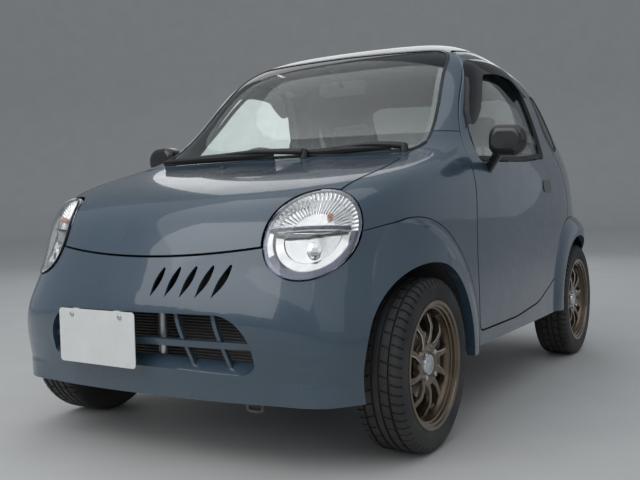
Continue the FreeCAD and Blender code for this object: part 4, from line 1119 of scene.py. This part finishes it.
def make_corner():
    """The left lower corner as a panel of its own, matched to the skin round it."""
    (inner, outer), (foot, top), (wide, high) = CORNER_X, CORNER_Z, CORNER_GRID
    across = [inner + (outer - inner) * i / (wide - 1) for i in range(wide)]
    errors = [nose_depth(x, top) - depth for x, depth in zip(across, eased_row(top))]
    rows = []
    for j in range(high):
        z = foot + (top - foot) * j / (high - 1)
        rows.append([(x, depth + error, z) for x, depth, error in zip(across, eased_row(z), errors)])
    panel = sheet("corner", rows)
    if panel.data.polygons[0].normal.y > 0:
        flip(panel)
    return dress(apply(panel, "SOLIDIFY", thickness=PANEL, offset=-1), "paint", 50)


def make_bumper():
    """The front bumper with its two lower corners cut out and eased ones put in."""
    piece = copied("bumper_front", NODES["front_bumper"], Matrix())
    edit(piece)
    (inner, outer), top = CORNER_X, CORNER_Z[1]
    for side in (-1, 1):
        for place, normal in (((side * inner, 0, 0), X_AXIS), ((side * outer, 0, 0), X_AXIS),
                              ((0, 0, top), UP)):
            choose(piece, lambda middle, _: side * middle.x > 0.3 and middle.z < 0.5
                   and middle.y < -1.1)
            bpy.ops.mesh.bisect(plane_co=place, plane_no=normal)
    choose(piece, lambda middle, _: inner < abs(middle.x) < outer and middle.z < top
           and middle.y < -1.1)
    bpy.ops.mesh.delete(type="FACE")
    object_mode()
    corner = make_corner()
    return join("bumper_front", [piece, corner, copied("corner_right", corner)])


# Settings

class HatchbackColours(bpy.types.PropertyGroup):
    paint: FloatVectorProperty(name="Body paint", description="Colour of the body panels", size=3,
                               default=(0.043, 0.074, 0.106), subtype="COLOR", min=0, max=1)
    wheel: FloatVectorProperty(name="Wheel paint", description="Colour of the rims", size=3,
                               default=(0.17, 0.125, 0.085), subtype="COLOR", min=0, max=1)


class HatchbackSizes(bpy.types.PropertyGroup):
    spokes: IntProperty(name="Spokes", description="Spokes on each rim", default=10, min=3, max=20)
    seal: FloatProperty(name="Seal radius", description="Half the width of the window rubbers",
                        default=0.0058, unit="LENGTH", min=0.001, max=0.02)


class HatchbackStage(bpy.types.PropertyGroup):
    camera_place: FloatVectorProperty(name="Camera place", description="Where the camera stands",
                                      size=3, default=(1.711, -3.195, 0.758), subtype="TRANSLATION")
    camera_yaw: FloatProperty(name="Camera yaw", description="Turn of the view to the left",
                              default=math.radians(30.49), subtype="ANGLE")
    camera_pitch: FloatProperty(name="Camera pitch", description="Upward tilt of the view",
                                default=math.radians(-2.5), subtype="ANGLE")
    camera_roll: FloatProperty(name="Camera roll", description="Turn about the line of sight",
                               default=math.radians(-1.42), subtype="ANGLE")
    lens: FloatProperty(name="Lens", description="Focal length on a 36 mm wide sensor",
                        default=47.44)
    light: FloatProperty(name="Light", description="Power of the main soft light in watts",
                         default=150)
    backdrop: FloatProperty(name="Backdrop", description="Brightness of the backdrop", default=0.82)


# Stage

FLOOR_SIZE = 40
WALL_DISTANCE = 19
WALL_HEIGHT = 20
WALL_CURVE = 4
# The world where the camera doesn't see it
WORLD_LEVEL = 0.36
WORLD_TINT = (0.89, 0.97, 1.06)
# Each light: name, place, aim, size and share of the main power
LIGHTS = (
    ("key_light", (-1.6, -5.4, 4.0), (0, -0.4, 0.6), 5, 0.75),
    ("side_light", (6.0, -3.0, 3.6), (0, -0.2, 0.6), 5, 0.16),
    ("top_light", (0, -2.2, 5.8), (0, -0.4, 0), 9, 1.1),
    ("back_light", (-3.0, 5.4, 3.4), (0, 0.4, 0.6), 5, 0.4),
)


def make_floor(yaw):
    """A pale floor that curves up into a wall behind the car, square to the camera."""
    clear()
    bpy.ops.mesh.primitive_plane_add(size=FLOOR_SIZE, location=(0, 0, 0))
    floor = named("floor")
    edit(floor)
    choose(floor, lambda a, b: min(a.y, b.y) > WALL_DISTANCE, "EDGE")
    bpy.ops.mesh.extrude_edges_move(TRANSFORM_OT_translate={"value": (0, 0, WALL_HEIGHT)})
    choose(floor, lambda a, b: min(a.y, b.y) > WALL_DISTANCE and max(a.z, b.z) < 0.1, "EDGE")
    bpy.ops.mesh.bevel(offset=WALL_CURVE, segments=24)
    bpy.ops.mesh.select_all(action="SELECT")
    bpy.ops.transform.rotate(value=-yaw, orient_axis="Z", center_override=(0, 0, 0))
    object_mode()
    finish, n, shader, place = begin("pale floor", Roughness=0.6)
    n.feed(shader, Base_Color=n.group("mottle", Place=place, Colour=(0.55, 0.55, 0.54),
                                      Amount=0.02, Scale=3)["Colour"])
    smooth(floor, 60).data.materials.append(finish)


def light_world(scene, backdrop):
    """A world that is bright to the camera and through glass, and dimmer and cooler as light."""
    scene.world = scene.world or bpy.data.worlds.new("studio")
    scene.world.use_nodes = True
    scene.world.node_tree.nodes.clear()
    w = Nodes(scene.world.node_tree)
    rays = w.add("LightPath").outputs
    seen = w.math("MAXIMUM", rays["Is Camera Ray"], rays["Is Transmission Ray"])
    ground = w.add("Background", {
        "Color": w.mix(seen, WORLD_TINT, (1, 1, 1)),
        "Strength": w.math("MULTIPLY_ADD", seen, backdrop - WORLD_LEVEL, WORLD_LEVEL)})
    w.add("OutputWorld", {"Surface": ground.outputs[0]})


def add_lights(power):
    for name, place, aim, size, share in LIGHTS:
        clear()
        bpy.ops.object.light_add(type="AREA", location=place)
        lamp = bpy.context.object
        lamp.name = name
        lamp.data.size = size
        lamp.data.energy = power * share
        lamp.rotation_euler = (Vector(aim) - Vector(place)).to_track_quat("-Z", "Y").to_euler()


def add_camera(scene, stage):
    yaw, pitch, roll = stage.camera_yaw, stage.camera_pitch, stage.camera_roll
    ahead = Vector((-math.sin(yaw) * math.cos(pitch), math.cos(yaw) * math.cos(pitch),
                    math.sin(pitch)))
    right = ahead.cross(UP).normalized()
    top = right.cross(ahead)
    right, top = (right * math.cos(roll) + top * math.sin(roll),
                  top * math.cos(roll) - right * math.sin(roll))
    clear()
    bpy.ops.object.camera_add(location=stage.camera_place)
    camera = bpy.context.object
    camera.name = "photo_camera"
    camera.matrix_world = Matrix.Translation(Vector(stage.camera_place)) @ Matrix(
        (right, top, -ahead)).transposed().to_4x4()
    camera.data.sensor_width = 36
    camera.data.lens = stage.lens
    scene.camera = camera


# Operators

class HATCHBACK_OT_solids(bpy.types.Operator):
    """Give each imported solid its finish"""
    bl_idname = "hatchback.solids"
    bl_label = "Finish the solids"

    def execute(self, context):
        make_finishes(context.scene.hatchback_colours)
        for name, node in NODES.items():
            key = next(key for key, starts in SOLID_FINISH.items() if name.startswith(starts))
            for slot in node.material_slots:
                slot.material = FINISH[key]
        return {"FINISHED"}


class HATCHBACK_OT_stage(bpy.types.Operator):
    """Set up the floor, the backdrop, the soft lights and the camera"""
    bl_idname = "hatchback.stage"
    bl_label = "Stage"

    def execute(self, context):
        stage = context.scene.hatchback_stage
        make_floor(stage.camera_yaw)
        light_world(context.scene, stage.backdrop)
        add_lights(stage.light)
        add_camera(context.scene, stage)
        context.scene.view_settings.view_transform = "Standard"
        return {"FINISHED"}


class HATCHBACK_OT_wheels(bpy.types.Operator):
    """Model one tyre and one rim and copy them to the four corners"""
    bl_idname = "hatchback.wheels"
    bl_label = "Wheels"

    def execute(self, context):
        parts = ((make_tyre(), "tyre", "tyre"),
                 (make_rim(context.scene.hatchback_sizes.spokes), "rim", "bronze"))
        for end, shift in (("front", Matrix()), ("rear", Matrix.Translation(REAR_WHEEL - FRONT_WHEEL))):
            for side, matrix in (("left", shift), ("right", MIRROR @ shift)):
                for part, node, slot in parts:
                    copy = copied(f"{node}_shape_{end}_{side}", part, matrix)
                    hand_over(copy, f"wheel_{end}_{side}", f"{node}_{end}_{side}")
        for part, _, _ in parts:
            only(part)
            bpy.ops.object.delete()
        return {"FINISHED"}


class HATCHBACK_OT_seals(bpy.types.Operator):
    """Lay a rubber seal round every window"""
    bl_idname = "hatchback.seals"
    bl_label = "Window seals"

    def execute(self, context):
        radius = context.scene.hatchback_sizes.seal
        for node, body, size in (("windscreen", "body", 1.5), ("quarter_windows", "body", 0.9),
                                 ("hatch_glass", "hatch_glass", 1),
                                 ("door_glass_left", "door_left", 1),
                                 ("door_glass_right", "door_right", 1)):
            hand_over(edge_seal(node, radius * size), body)
        return {"FINISHED"}


class HATCHBACK_OT_headlamps(bpy.types.Operator):
    """Fit reflectors, bezels, dividers and bulbs behind both lenses"""
    bl_idname = "hatchback.headlamps"
    bl_label = "Headlamps"

    def execute(self, context):
        for lamp in both_sides(make_headlamp()):
            hand_over(lamp, "body")
        return {"FINISHED"}


class HATCHBACK_OT_bumper(bpy.types.Operator):
    """Ease the lower corners of the front bumper"""
    bl_idname = "hatchback.bumper"
    bl_label = "Bumper"

    def execute(self, context):
        hand_over(make_bumper(), "body", "front_bumper")
        return {"FINISHED"}


class HATCHBACK_OT_seats(bpy.types.Operator):
    """Make the padded seats and the bench, with their channels and frames"""
    bl_idname = "hatchback.seats"
    bl_label = "Seats"

    def execute(self, context):
        pieces = [(piece, "front_seats") for part in make_seat() for piece in both_sides(part)]
        pieces += [(piece, "rear_bench") for piece in make_bench()]
        for piece, node in pieces:
            hand_over(piece, "body", node)
        return {"FINISHED"}


class HATCHBACK_OT_wipers(bpy.types.Operator):
    """Lay both wipers along the foot of the windscreen"""
    bl_idname = "hatchback.wipers"
    bl_label = "Wipers"

    def execute(self, context):
        for name, pivot, tip, reach in (("wiper_right", (0.15, -0.64), (-0.485, -0.642), 0.2),
                                        ("wiper_left", (0.52, -0.6), (0.125, -0.628), 0.12)):
            hand_over(make_wiper(name, pivot, tip, reach), "body", "wipers")
        return {"FINISHED"}


class HATCHBACK_OT_door_pieces(bpy.types.Operator):
    """Add mirror glass, smoked deflector, window lip and inner trim to both doors"""
    bl_idname = "hatchback.door_pieces"
    bl_label = "Door pieces"

    def execute(self, context):
        for make, slot in ((mirror_glass, "lamp_chrome"), (make_visor, "smoked_glass"),
                           (make_surround, "black_plastic"), (make_door_trim, "cabin_plastic")):
            for piece, body in zip(both_sides(make()), ("door_left", "door_right")):
                hand_over(piece, body)
        return {"FINISHED"}


class HATCHBACK_OT_cabin(bpy.types.Operator):
    """Add instruments, vents, heater panel, gear lever and the steering wheel's pad"""
    bl_idname = "hatchback.cabin"
    bl_label = "Cabin trim"

    def execute(self, context):
        hand_over(make_dash_trim(), "body")
        hand_over(make_wheel_pad(), "steering_wheel")
        return {"FINISHED"}


class HATCHBACK_OT_engine(bpy.types.Operator):
    """Dress the engine block, and fit the stay's sleeve, the washer jet and the front fittings"""
    bl_idname = "hatchback.engine"
    bl_label = "Engine bay"

    def execute(self, context):
        engine = make_engine_dress()
        sleeve = turned("stay_sleeve", [(262, 14.2), (262, 15), (460, 15), (460, 14.2)],
                        (0.027, -1.272, 0), "steel", UP, 48)
        jet = turned("washer_jet", [(-3, 0), (-3, 13), (3, 12), (8, 8), (10, 0)],
                     on_skin(-0.136, -0.738, "bonnet"), "black", UP, 32, 50)
        hand_over(engine, "body")
        hand_over(sleeve, "body")
        hand_over(make_front_fittings(), "body")
        hand_over(jet, "bonnet")
        return {"FINISHED"}


class HATCHBACK_PT_panel(bpy.types.Panel):
    """The hatchback's pieces and settings"""
    bl_idname = "HATCHBACK_PT_panel"
    bl_label = "Hatchback"
    bl_space_type = "VIEW_3D"
    bl_region_type = "UI"
    bl_category = "Hatchback"

    def draw(self, context):
        for settings in (context.scene.hatchback_colours, context.scene.hatchback_sizes,
                         context.scene.hatchback_stage):
            box = self.layout.box()
            for key in settings.__annotations__:
                box.prop(settings, key)
        for step in STEPS:
            self.layout.operator(step.bl_idname)


STEPS = (HATCHBACK_OT_solids, HATCHBACK_OT_stage, HATCHBACK_OT_wheels, HATCHBACK_OT_seals,
         HATCHBACK_OT_headlamps, HATCHBACK_OT_bumper, HATCHBACK_OT_seats, HATCHBACK_OT_wipers,
         HATCHBACK_OT_door_pieces, HATCHBACK_OT_cabin, HATCHBACK_OT_engine)
CLASSES = (HatchbackColours, HatchbackSizes, HatchbackStage) + STEPS + (HATCHBACK_PT_panel,)


def register():
    for item in CLASSES:
        bpy.utils.register_class(item)
    bpy.types.Scene.hatchback_colours = PointerProperty(type=HatchbackColours)
    bpy.types.Scene.hatchback_sizes = PointerProperty(type=HatchbackSizes)
    bpy.types.Scene.hatchback_stage = PointerProperty(type=HatchbackStage)


def unregister():
    del bpy.types.Scene.hatchback_stage
    del bpy.types.Scene.hatchback_sizes
    del bpy.types.Scene.hatchback_colours
    for item in reversed(CLASSES):
        bpy.utils.unregister_class(item)


def main():
    register()
    for step in STEPS:
        group, name = step.bl_idname.split(".")
        getattr(getattr(bpy.ops, group), name)()


if __name__ == "__main__":
    main()
